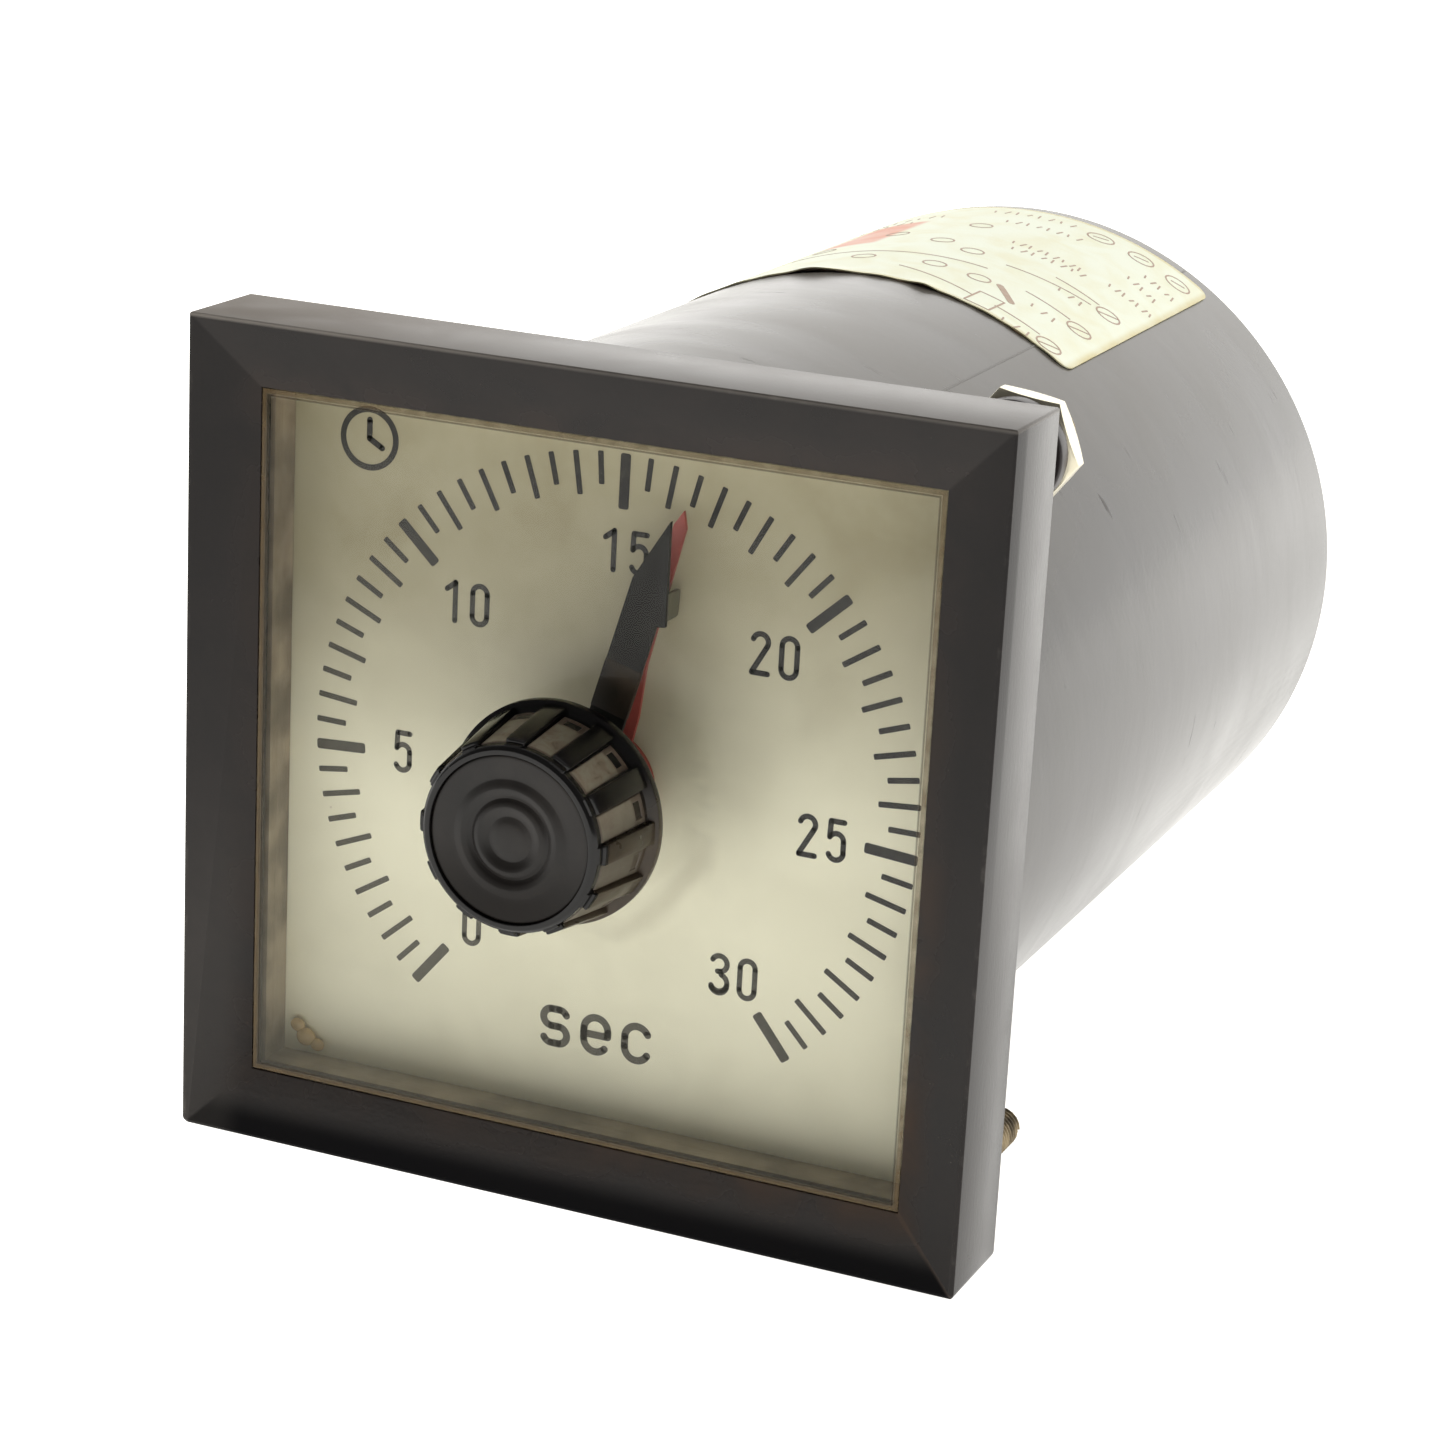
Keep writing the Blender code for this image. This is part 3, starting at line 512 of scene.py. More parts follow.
@dataclass(frozen=True)
class DialEnamel(Finish):
    """Pale enamel gone yellow-green, with brown smudges near the knob and painted shade that
    darkens it towards the top.
    """

    # Colour of the smudges and of the painted shade towards the top.
    smudge: Colour = (0.31, 0.275, 0.16)

    def paint(self) -> bpy.types.Material:
        """Build the enamel.

        Returns:
            The material.
        """
        graph = Graph(f"{self.name}_finish")
        place = graph.place()
        x, _, z = graph.axes(place)
        radius = graph.maths("SQRT", x * x + z * z)
        cloud = graph.noise(place, 14.0, 4.0, 0.5)
        fine = graph.noise(place, 1.1, 4.0)
        streak = graph.noise(graph.stretched(place, (1.0, 1.0, 0.3), (0.0, 28.0, 0.0)), 4.0, 3.0)
        near_knob = radius.ramp(26.0, 9.0) * (z + 0.5 * x).ramp(-16.0, 6.0)
        # Painted shade: darker towards the top.
        top = (z - 0.1 * x).ramp(-10.0, 28.0)
        # The mask holds brown blotches, the smudge near the knob and, weighted 0.84, painted shade
        # towards the top.
        dirt = 0.12 * cloud.ramp(0.35, 0.75) + 0.24 * near_knob * (0.4 + 0.9 * streak)
        dirt = dirt + 0.84 * top + 0.05 * (fine - 0.5)
        colour = graph.mix(dirt.held(), self.colour, self.smudge)
        specks = graph.specks(place, 5.0, 0.12) * cloud.ramp(0.5, 0.62)
        colour = graph.mix(specks * 0.6, colour, (0.25, 0.12, 0.07))
        return graph.surface(
            {
                "Base Color": colour,
                "Roughness": self.roughness + 0.1 * fine,
                "IOR": 1.45,
                "Normal": graph.bump(fine, 0.003),
            }
        )


@dataclass(frozen=True)
class Ink(Finish):
    """Printing ink, thinner in places."""

    faded: Colour = (0.12, 0.115, 0.09)
    thinned: float = 0.0

    def paint(self) -> bpy.types.Material:
        """Build the ink.

        Returns:
            The material.
        """
        graph = Graph(f"{self.name}_finish")
        place = graph.place()
        x, _, z = graph.axes(place)
        wear = graph.noise(place, 1.3, 4.0)
        thin = (x * -0.8 - z).ramp(-22.0, 34.0) * self.thinned + 0.35 * wear.ramp(0.4, 0.85)
        colour = graph.mix(thin.held(), self.colour, self.faded)
        return graph.surface(
            {
                "Base Color": colour,
                "Roughness": self.roughness + 0.15 * wear,
                "Normal": graph.bump(wear, 0.01),
            }
        )


@dataclass(frozen=True)
class CanResin(Finish):
    """Glossy dark moulded can with rub marks round it and cloudy patches."""

    film: Colour = (0.022, 0.019, 0.015)
    dust: Colour = (0.25, 0.23, 0.2)
    radius: float = 45.9

    def paint(self) -> bpy.types.Material:
        """Build the can's resin.

        Returns:
            The material.
        """
        graph = Graph(f"{self.name}_finish")
        place = graph.place()
        cloud = graph.noise(graph.stretched(place, (0.5, 1.0, 0.5)), 11.0, 4.0, 0.3)
        rubs = graph.noise(graph.stretched(place, (0.06, 1.0, 0.06)), 0.9, 3.0)
        marks = rubs.ramp(0.66, 0.74) * graph.noise(place, 5.0).ramp(0.52, 0.64)
        scuffs = graph.noise(graph.stretched(place, (0.5, 0.08, 0.5)), 1.2, 2.0)
        scuffs = scuffs.ramp(0.7, 0.78) * graph.noise(place, 9.0).ramp(0.55, 0.65)
        colour = graph.mix(cloud.ramp(0.3, 0.75), self.colour, self.film)
        colour = graph.mix(scuffs * 0.6, colour, (0.2, 0.18, 0.15))
        colour = graph.mix(marks * 0.8, colour, (0.012, 0.01, 0.009))
        fine = graph.noise(place, 0.6, 3.0)
        normal = graph.bump(fine, 0.006)
        normal = graph.bump(cloud, 0.05, normal)
        resin = graph.principled(
            {
                "Base Color": colour,
                "Roughness": (self.roughness + 0.12 * (cloud - 0.5) + 0.3 * marks).held(),
                "IOR": 1.3,
                "Normal": normal,
            }
        )
        _, _, z = graph.axes(place)
        # Dust on the upper part of the can, which is also painted shade that dims its highlights.
        dust_and_painted_light = z.ramp(10.0, self.radius) * (0.1 + 0.35 * cloud)
        dust = graph.principled({"Base Color": self.dust, "Specular IOR Level": 0.0})
        return graph.finish(graph.over(dust_and_painted_light, resin, dust))


@dataclass(frozen=True)
class LabelPaper(Finish):
    """Yellowed paper label with darker rims and one faded red stamp."""

    rim: Colour = (0.62, 0.52, 0.22)
    stamp: Colour = (0.72, 0.16, 0.1)
    arc_start: float = 125.6
    arc_end: float = 54.4
    front: float = 79.5
    back: float = 138.0
    radius: float = 46.4

    def paint(self) -> bpy.types.Material:
        """Build the paper.

        Returns:
            The material.
        """
        graph = Graph(f"{self.name}_finish")
        place = graph.place()
        x, y, z = graph.axes(place)
        degrees = graph.maths("ARCTAN2", z, x) * (180 / math.pi)
        per_degree = self.radius * math.pi / 180
        across = ((degrees - self.arc_end).least(self.arc_start - degrees)) * per_degree
        along = (y - self.front).least(self.back - y)
        cloud = graph.noise(place, 6.0, 4.0, 0.5)
        fibre = graph.noise(graph.stretched(place, (1.0, 0.4, 1.0)), 0.35, 3.0)
        edge = across.least(along).ramp(1.2, 0.1)
        colour = graph.mix(cloud.ramp(0.35, 0.8) * 0.4, self.colour, (0.74, 0.68, 0.38))
        colour = graph.mix(edge * (0.3 + 0.6 * cloud), colour, self.rim)
        stamp = (degrees - 106.0).size().ramp(5.6, 3.6) * (y - 115.0).size().ramp(11.0, 9.0)
        colour = graph.mix(stamp * (0.3 + 0.6 * cloud), colour, self.stamp)
        return graph.surface(
            {
                "Base Color": colour,
                "Roughness": self.roughness + 0.1 * fibre,
                "IOR": 1.4,
                "Normal": graph.bump(fibre, 0.02),
            }
        )


@dataclass(frozen=True)
class Metal(Finish):
    """Turned or plated metal with a drawn grain and tarnish."""

    tarnish: Colour = (0.2, 0.16, 0.1)
    tarnished: float = 0.3
    drawn: Colour = (1.0, 0.12, 1.0)
    grain: float = 0.01
    grain_size: float = 0.18

    def paint(self) -> bpy.types.Material:
        """Build the metal.

        Returns:
            The material.
        """
        graph = Graph(f"{self.name}_finish")
        place = graph.place()
        cloud = graph.noise(place, 3.2, 4.0, 0.4)
        lines = graph.noise(graph.stretched(place, self.drawn), self.grain_size, 3.0)
        patina = cloud.ramp(0.75 - 0.5 * self.tarnished, 0.9 - 0.3 * self.tarnished)
        colour = graph.mix((patina * (0.4 + self.tarnished)).held(), self.colour, self.tarnish)
        return graph.surface(
            {
                "Base Color": colour,
                "Metallic": 1.0 - 0.6 * patina,
                "Roughness": (self.roughness + 0.25 * patina + 0.12 * (lines - 0.5)).held(),
                "Normal": graph.bump(lines, self.grain),
            }
        )


@dataclass(frozen=True)
class KnobPlastic(Finish):
    """Glossy black knob plastic with brown finger grime low on one side."""

    grime: Colour = (0.07, 0.05, 0.03)

    def paint(self) -> bpy.types.Material:
        """Build the knob's plastic.

        Returns:
            The material.
        """
        graph = Graph(f"{self.name}_finish")
        place = graph.place()
        x, y, z = graph.axes(place)
        cloud = graph.noise(place, 2.6, 4.0, 0.5)
        fine = graph.noise(place, 0.4, 2.0)
        low_right = (x * 0.8 - z).ramp(1.0, 12.0) * y.ramp(-13.4, -12.6)
        grime = (low_right * (0.25 + 0.8 * cloud)).held()
        colour = graph.mix(grime, self.colour, self.grime)
        lint = graph.specks(place, 1.6, 0.07) * cloud.ramp(0.5, 0.7)
        colour = graph.mix(lint * 0.6, colour, (0.3, 0.28, 0.24))
        return graph.surface(
            {
                "Base Color": colour,
                "Roughness": self.roughness + 0.25 * grime + 0.1 * cloud,
                "IOR": 1.38,
                "Normal": graph.bump(fine, 0.008),
            }
        )


@dataclass(frozen=True)
class WornInlay(Finish):
    """Tan grip inlay with pink and brown dirt, painted shade in the creases along its borders and
    painted shade low on one side.
    """

    # Colour of the dirt and of the painted shade in the creases.
    dirt: Colour = (0.09, 0.055, 0.04)
    blush: Colour = (0.24, 0.19, 0.14)
    shade: Colour = (0.075, 0.062, 0.045)

    def paint(self) -> bpy.types.Material:
        """Build the inlay.

        Returns:
            The material.
        """
        graph = Graph(f"{self.name}_finish")
        place = graph.place()
        x, y, z = graph.axes(place)
        cloud = graph.noise(place, 1.7, 4.0, 0.6)
        lines = graph.noise(graph.stretched(place, (1.0, 0.15, 1.0)), 0.5, 3.0)
        degrees = graph.maths("ARCTAN2", z, x) * (180 / math.pi)
        inside = graph.maths("PINGPONG", degrees, 15.0)
        # Painted shade in the creases where the inlay meets the ribs and the body.
        crease_shade = inside.ramp(8.0, 7.4).most(y.ramp(-7.0, -6.5)).most(y.ramp(-13.0, -13.3))
        colour = graph.mix(cloud.ramp(0.35, 0.7), self.colour, self.blush)
        colour = graph.mix(cloud.ramp(0.58, 0.8) * 0.8, colour, self.dirt)
        colour = graph.mix(crease_shade * 0.75, colour, self.dirt)
        low_right = (x * 0.6 - z).ramp(-1.0, 7.5)
        colour = graph.mix(low_right * 0.9, colour, self.shade)
        return graph.surface(
            {
                "Base Color": colour,
                "Roughness": self.roughness + 0.15 * lines,
                "IOR": 1.45,
                "Normal": graph.bump(lines, 0.02),
            }
        )


BEZEL_PLASTIC = BezelPlastic("bezel_plastic", (0.011, 0.008, 0.007), 0.24)
WINDOW_PLASTIC = WindowPlastic("window_plastic", (0.5, 0.48, 0.38), 0.08)
DIAL_ENAMEL = DialEnamel("dial_enamel", (0.97, 0.95, 0.73), 0.5)
DIAL_INK = Ink("dial_ink", (0.012, 0.011, 0.009), 0.5, (0.1, 0.095, 0.07), 0.8)
CAN_RESIN = CanResin("can_resin", (0.014, 0.011, 0.009), 0.2)
LABEL_PAPER = LabelPaper("label_paper", (0.83, 0.86, 0.72), 0.6)
LABEL_INK = Ink("label_ink", (0.42, 0.3, 0.22), 0.6, (0.62, 0.52, 0.42))
ADHESIVE = Moulding("label_adhesive", (0.1, 0.055, 0.022), 0.5, clouding=0.6, grain=0.04)
STUD_BRASS = Metal("stud_brass", (0.3, 0.24, 0.15), 0.4, (0.09, 0.07, 0.045), 0.6)
NUT_PLATING = Metal("nut_plating", (0.6, 0.56, 0.44), 0.34, (0.42, 0.38, 0.27), 0.25)
SCREW_PLATING = Metal("screw_plating", (0.72, 0.71, 0.67), 0.28, (0.3, 0.28, 0.24), 0.3)
DISC_BLACK = Moulding("disc_black", (0.02, 0.014, 0.014), 0.45)
KNOB_BLACK = KnobPlastic("knob_black", (0.006, 0.0055, 0.0055), 0.13)
KNOB_INLAY = WornInlay("knob_inlay", (0.3, 0.27, 0.2), 0.42)
# Painted shade dims the cap towards its bottom.
CAP_BLACK = Moulding("cap_black", (0.015, 0.0125, 0.011), 0.42, clouding=0.4, grain=0.004,
                     ior=1.38, handled=0.55)
POINTER_BLACK = Moulding("pointer_black", (0.009, 0.0085, 0.007), 0.42, clouding=0.4, grain=0.0008,
                         ior=1.3)
POINTER_ROOT = Moulding("pointer_root", (0.035, 0.024, 0.015), 0.5, clouding=0.6, grain=0.001,
                        ior=1.3)
TAB_OLIVE = Moulding("tab_olive", (0.11, 0.105, 0.065), 0.45, clouding=0.3, grain=0.003)
POINTER_RED = Moulding("pointer_red", (0.3, 0.06, 0.045), 0.45, clouding=0.2, grain=0.003)
SURROUND_TAN = Moulding("surround_tan", (0.3, 0.25, 0.18), 0.5, clouding=0.4, grain=0.03)
GLUE = Moulding("glue", (0.5, 0.36, 0.16), 0.2, clouding=0.5, grain=0.05, grain_size=0.9)
TERMINAL_RESIN = Moulding("terminal_resin", (0.075, 0.035, 0.018), 0.38, clouding=0.4)
SWITCH_BLACK = Moulding("switch_black", (0.03, 0.03, 0.03), 0.45)
STEEL = Metal("steel", (0.56, 0.56, 0.54), 0.32, (0.22, 0.19, 0.16), 0.25)
BRASS = Metal("brass", (0.68, 0.52, 0.24), 0.3, (0.3, 0.2, 0.1), 0.3)
COPPER = Metal("copper_winding", (0.62, 0.28, 0.13), 0.35, (0.22, 0.09, 0.05), 0.3,
               (0.2, 1.0, 0.2), 0.04, 0.12)
MAGNET = Metal("magnet_grey", (0.2, 0.2, 0.21), 0.5, (0.08, 0.07, 0.07), 0.4)
SPRING_STEEL = Metal("spring_steel", (0.36, 0.4, 0.5), 0.26, (0.2, 0.16, 0.12), 0.2)
FIGURE_PAINT = Ink("figure_paint", (0.55, 0.53, 0.45), 0.55, (0.3, 0.27, 0.2))


# ---------------------------------------------------------------- modelling


class Corner(Enum):
    """A corner of the bezel, as the signs of x and z."""

    TOP_RIGHT = (1, 1)
    TOP_LEFT = (-1, 1)
    BOTTOM_LEFT = (-1, -1)
    BOTTOM_RIGHT = (1, -1)

    def at(self, distance: float) -> Point:
        """Point at that distance along both axes."""
        return self.value[0] * distance, self.value[1] * distance


class Cut(Enum):
    """How one form works on another."""

    TAKE_AWAY = "DIFFERENCE"
    JOIN = "UNION"
    KEEP_COMMON = "INTERSECT"


def polar(radius: float, degrees: float) -> Point:
    """Point (x, z) at an angle measured from +x towards +z."""
    angle = math.radians(degrees)
    return radius * math.cos(angle), radius * math.sin(angle)


class Form:
    """A mesh in the making, in millimetres."""

    def __init__(self) -> None:
        """Start with nothing."""
        self.bm = bmesh.new()

    @classmethod
    def block(
        cls, half_x: float, half_z: float, y0: float, y1: float, centre: Point = (0.0, 0.0)
    ) -> "Form":
        """A box.

        Args:
            half_x: half its width.
            half_z: half its height.
            y0: front depth.
            y1: rear depth.
            centre: its middle as (x, z).

        Returns:
            The form.
        """
        form = cls()
        size = Matrix.Diagonal((2 * half_x, y1 - y0, 2 * half_z, 1.0))
        move = Matrix.Translation((centre[0], (y0 + y1) / 2, centre[1]))
        bmesh.ops.create_cube(form.bm, size=1.0, matrix=move @ size)
        return form

    @classmethod
    def turned(
        cls, profile: Sequence[Point], segments: int = 48, centre: Point = (0.0, 0.0)
    ) -> "Form":
        """A profile spun once round the y direction.

        Args:
            profile: (radius, y) points; a profile that starts and ends on the axis stays open.
            segments: steps of the spin.
            centre: place of the axis as (x, z).

        Returns:
            The form.
        """
        form = cls()
        verts = [form.bm.verts.new((r, y, 0.0)) for r, y in profile]
        edges = [form.bm.edges.new(pair) for pair in zip(verts, verts[1:])]
        if profile[0][0] or profile[-1][0]:
            edges.append(form.bm.edges.new((verts[-1], verts[0])))
        bmesh.ops.spin(
            form.bm,
            geom=verts + edges,
            cent=(0, 0, 0),
            axis=(0, 1, 0),
            angle=math.tau,
            steps=segments,
            use_merge=True,
        )
        bmesh.ops.remove_doubles(form.bm, verts=form.bm.verts, dist=0.0005)
        return form.moved((centre[0], 0.0, centre[1]))

    @classmethod
    def sector(
        cls, profile: Sequence[Point], start: float, sweep: float, steps: int
    ) -> "Form":
        """A closed profile spun through part of a turn round the y axis.

        Args:
            profile: (radius, y) points.
            start: first angle in degrees.
            sweep: angle swept, towards +z from +x.
            steps: steps of the spin.

        Returns:
            The form.
        """
        form = cls()
        face = form.bm.faces.new([form.bm.verts.new((r, y, 0.0)) for r, y in profile])
        bmesh.ops.spin(
            form.bm,
            geom=[face],
            cent=(0, 0, 0),
            axis=(0, -1, 0),
            angle=math.radians(sweep),
            steps=steps,
        )
        return form.turned_by(start)

    @classmethod
    def plate(cls, outline: Sequence[Point], y0: float, y1: float) -> "Form":
        """An outline of (x, z) points pulled from depth y0 to y1."""
        form = cls()
        face = form.bm.faces.new([form.bm.verts.new((x, y0, z)) for x, z in outline])
        grown = bmesh.ops.extrude_face_region(form.bm, geom=[face])["geom"]
        moved = [v for v in grown if isinstance(v, bmesh.types.BMVert)]
        bmesh.ops.translate(form.bm, verts=moved, vec=(0.0, y1 - y0, 0.0))
        return form

    @classmethod
    def prism(
        cls,
        sides: int,
        radius: float,
        y0: float,
        y1: float,
        centre: Point = (0.0, 0.0),
        turn: float = 0.0,
        end_radius: float | None = None,
    ) -> "Form":
        """A regular prism or frustum along y.

        Args:
            sides: number of sides.
            radius: distance of its corners from its middle, at y0.
            y0: front depth.
            y1: rear depth.
            centre: its middle as (x, z).
            turn: angle of the first corner in degrees.
            end_radius: distance of the corners at y1, if it differs.

        Returns:
            The form.
        """
        form = cls()
        place = (
            Matrix.Translation((centre[0], (y0 + y1) / 2, centre[1]))
            @ Matrix.Rotation(math.radians(-turn), 4, "Y")
            @ Matrix.Rotation(math.radians(-90), 4, "X")
        )
        bmesh.ops.create_cone(
            form.bm,
            cap_ends=True,
            segments=sides,
            radius1=radius,
            radius2=radius if end_radius is None else end_radius,
            depth=y1 - y0,
            matrix=place,
        )
        return form

    def moved(self, step: Colour) -> "Form":
        """Shift the form by (x, y, z)."""
        bmesh.ops.translate(self.bm, verts=self.bm.verts, vec=step)
        return self

    def turned_by(self, degrees: float, centre: Point = (0.0, 0.0)) -> "Form":
        """Turn the form about the y direction, towards +z from +x."""
        bmesh.ops.rotate(
            self.bm,
            verts=self.bm.verts,
            cent=(centre[0], 0.0, centre[1]),
            matrix=Matrix.Rotation(math.radians(-degrees), 3, "Y"),
        )
        return self

    def repeated(self, count: int) -> "Form":
        """Copy the form evenly round the y axis until there are count of it."""
        bmesh.ops.spin(
            self.bm,
            geom=self.bm.verts[:] + self.bm.edges[:] + self.bm.faces[:],
            cent=(0, 0, 0),
            axis=(0, -1, 0),
            angle=math.tau * (count - 1) / count,
            steps=count - 1,
            use_duplicate=True,
        )
        return self

    def soften(
        self,
        width: float,
        segments: int = 2,
        degrees: float = 30.0,
        where: Callable[[Vector], bool] | None = None,
    ) -> "Form":
        """Bevel the sharp edges.

        Args:
            width: width of the bevel.
            segments: steps across it.
            degrees: least angle between the faces of an edge that counts as sharp.
            where: test on an edge's middle, to bevel only some.

        Returns:
            The form.
        """
        limit = math.radians(degrees)
        edges = [
            e
            for e in self.bm.edges
            if len(e.link_faces) == 2
            and e.calc_face_angle(0.0) > limit
            and (where is None or where((e.verts[0].co + e.verts[1].co) / 2))
        ]
        bmesh.ops.bevel(
            self.bm,
            geom=edges,
            offset=width,
            offset_type="OFFSET",
            segments=segments,
            profile=0.5,
            affect="EDGES",
            material=-1,
            clamp_overlap=True,
        )
        return self

    def sliced(self, normal: Colour, distances: Sequence[float]) -> "Form":
        """Cut faces along parallel planes, so that the form can be bent."""
        for distance in distances:
            bmesh.ops.bisect_plane(
                self.bm,
                geom=self.bm.verts[:] + self.bm.edges[:] + self.bm.faces[:],
                plane_co=Vector(normal) * distance,
                plane_no=normal,
            )
        return self

    def bent(self, rule: Callable[[Vector], Vector]) -> "Form":
        """Move every point by a rule."""
        for vert in self.bm.verts:
            vert.co = rule(vert.co)
        return self

    def add(self, other: "Form") -> "Form":
        """Put another form in with this one."""
        mesh = bpy.data.meshes.new("part")
        other.bm.to_mesh(mesh)
        other.bm.free()
        self.bm.from_mesh(mesh)
        bpy.data.meshes.remove(mesh)
        return self

    def cut(self, tool: "Form", way: Cut = Cut.TAKE_AWAY) -> "Form":
        """Work this form with another by an exact boolean.

        Args:
            tool: the other form, which is used up.
            way: what is done with it.

        Returns:
            The form.
        """
        objects = []
        for form in (self, tool):
            bmesh.ops.recalc_face_normals(form.bm, faces=form.bm.faces)
            mesh = bpy.data.meshes.new("work")
            form.bm.to_mesh(mesh)
            form.bm.free()
            obj = bpy.data.objects.new("work", mesh)
            bpy.context.scene.collection.objects.link(obj)
            objects.append(obj)
        modifier = objects[0].modifiers.new("cut", "BOOLEAN")
        modifier.operation = way.value
        modifier.solver = "EXACT"
        modifier.object = objects[1]
        graph = bpy.context.evaluated_depsgraph_get()
        result = bpy.data.meshes.new_from_object(objects[0].evaluated_get(graph))
        self.bm = bmesh.new()
        self.bm.from_mesh(result)
        bpy.data.meshes.remove(result)
        for obj in objects:
            mesh = obj.data
            bpy.data.objects.remove(obj, do_unlink=True)
            bpy.data.meshes.remove(mesh)
        bmesh.ops.remove_doubles(self.bm, verts=self.bm.verts, dist=0.0005)
        return self

    def piece(
        self,
        name: str,
        finish: Finish,
        body: str,
        slot: str,
        replaces: Sequence[str] = (),
    ) -> bpy.types.Object:
        """Turn the form into a finished piece that rides on a body.

        Args:
            name: name of the piece.
            finish: its finish.
            body: the CAD body that it moves with.
            slot: the record's material slot that it belongs to; not used.
            replaces: CAD nodes that it stands for.

        Returns:
            The object.
        """
        bmesh.ops.remove_doubles(self.bm, verts=self.bm.verts, dist=0.0005)
        bmesh.ops.recalc_face_normals(self.bm, faces=self.bm.faces)
        for face in self.bm.faces:
            face.smooth = True
        for edge in self.bm.edges:
            edge.smooth = len(edge.link_faces) == 2 and edge.calc_face_angle(0.0) < CREASE
        bmesh.ops.transform(self.bm, matrix=TO_FRAME, verts=self.bm.verts)
        mesh = bpy.data.meshes.new(name)
        self.bm.to_mesh(mesh)
        self.bm.free()
        mesh.materials.append(finish.material())
        piece = bpy.data.objects.new(name, mesh)
        bpy.context.scene.collection.objects.link(piece)
        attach(piece, body)
        if replaces:
            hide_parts(*replaces)
        log.info("%s: %d faces, on %s", name, len(mesh.polygons), body)
        return piece


# ---------------------------------------------------------------- pen strokes


@dataclass(frozen=True)
class Line:
    """A straight stroke between two points."""

    start: Point
    end: Point


@dataclass(frozen=True)
class Arc:
    """A round stroke: centre, radius, first angle and swept angle in degrees."""

    centre: Point
    radius: float
    start: float
    sweep: float


Stroke = Line | Arc

FIGURES: dict[str, tuple[Stroke, ...]] = {
    "0": (
        Line((-0.9, -1.3), (-0.9, 1.3)),
        Line((0.9, -1.3), (0.9, 1.3)),
        Arc((0.0, 1.3), 0.9, 0.0, 180.0),
        Arc((0.0, -1.3), 0.9, 180.0, 180.0),
    ),
    "1": (Line((0.35, -2.2), (0.35, 2.2)), Line((0.35, 2.15), (-0.7, 1.35))),
    "2": (
        Arc((0.0, 1.3), 0.9, 165.0, -200.0),
        Line((0.74, 0.78), (-0.9, -2.15)),
        Line((-0.9, -2.2), (0.95, -2.2)),
    ),
    "3": (
        Arc((0.0, 1.25), 0.92, 155.0, -235.0),
        Line((-0.2, 0.32), (0.15, 0.32)),
        Arc((0.0, -1.0), 1.0, 75.0, -230.0),
        Arc((0.0, -1.2), 1.0, 0.0, -155.0),
    ),
    "4": (
        Line((0.45, -2.2), (0.45, 2.2)),
        Line((0.45, 2.2), (-1.0, -0.9)),
        Line((-1.0, -0.9), (1.0, -0.9)),
    ),
    "5": (
        Line((-0.7, 2.2), (0.85, 2.2)),
        Line((-0.7, 2.2), (-0.78, 0.35)),
        Arc((0.0, 0.0), 0.85, 150.0, -150.0),
        Line((0.85, 0.0), (0.85, -1.3)),
        Arc((0.0, -1.3), 0.88, 0.0, -160.0),
    ),
    "6": (
        Arc((0.0, -1.3), 0.9, 0.0, 360.0),
        Line((-0.9, -1.3), (-0.9, 0.6)),
        Arc((0.7, 0.6), 1.6, 180.0, -85.0),
    ),
    "7": (Line((-0.9, 2.2), (0.9, 2.2)), Line((0.9, 2.15), (-0.3, -2.2))),
    "8": (Arc((0.0, 1.2), 0.9, 0.0, 360.0), Arc((0.0, -1.15), 1.0, 0.0, 360.0)),
    "s": (
        Arc((-0.46, 1.06), 1.03, 90.0, 180.0),
        Line((-0.46, 2.09), (0.46, 2.09)),
        Arc((0.46, 1.06), 1.03, 90.0, -62.0),
        Line((-0.46, 0.03), (0.46, 0.03)),
        Arc((0.46, -1.0), 1.03, 90.0, -180.0),
        Line((0.46, -2.03), (-0.46, -2.03)),
        Arc((-0.46, -1.0), 1.03, 270.0, -62.0),
    ),
    "e": (
        Arc((0.0, 0.58), 1.49, 0.0, 180.0),
        Line((-1.49, 0.58), (-1.49, -0.55)),
        Arc((0.0, -0.55), 1.49, 180.0, 140.0),
        Line((-1.49, 0.0), (1.49, 0.0)),
        Line((1.49, 0.0), (1.49, 0.58)),
    ),
    "c": (
        Arc((0.0, 0.58), 1.49, 28.0, 152.0),
        Line((-1.49, 0.58), (-1.49, -0.55)),
        Arc((0.0, -0.55), 1.49, 180.0, 152.0),
    ),
}


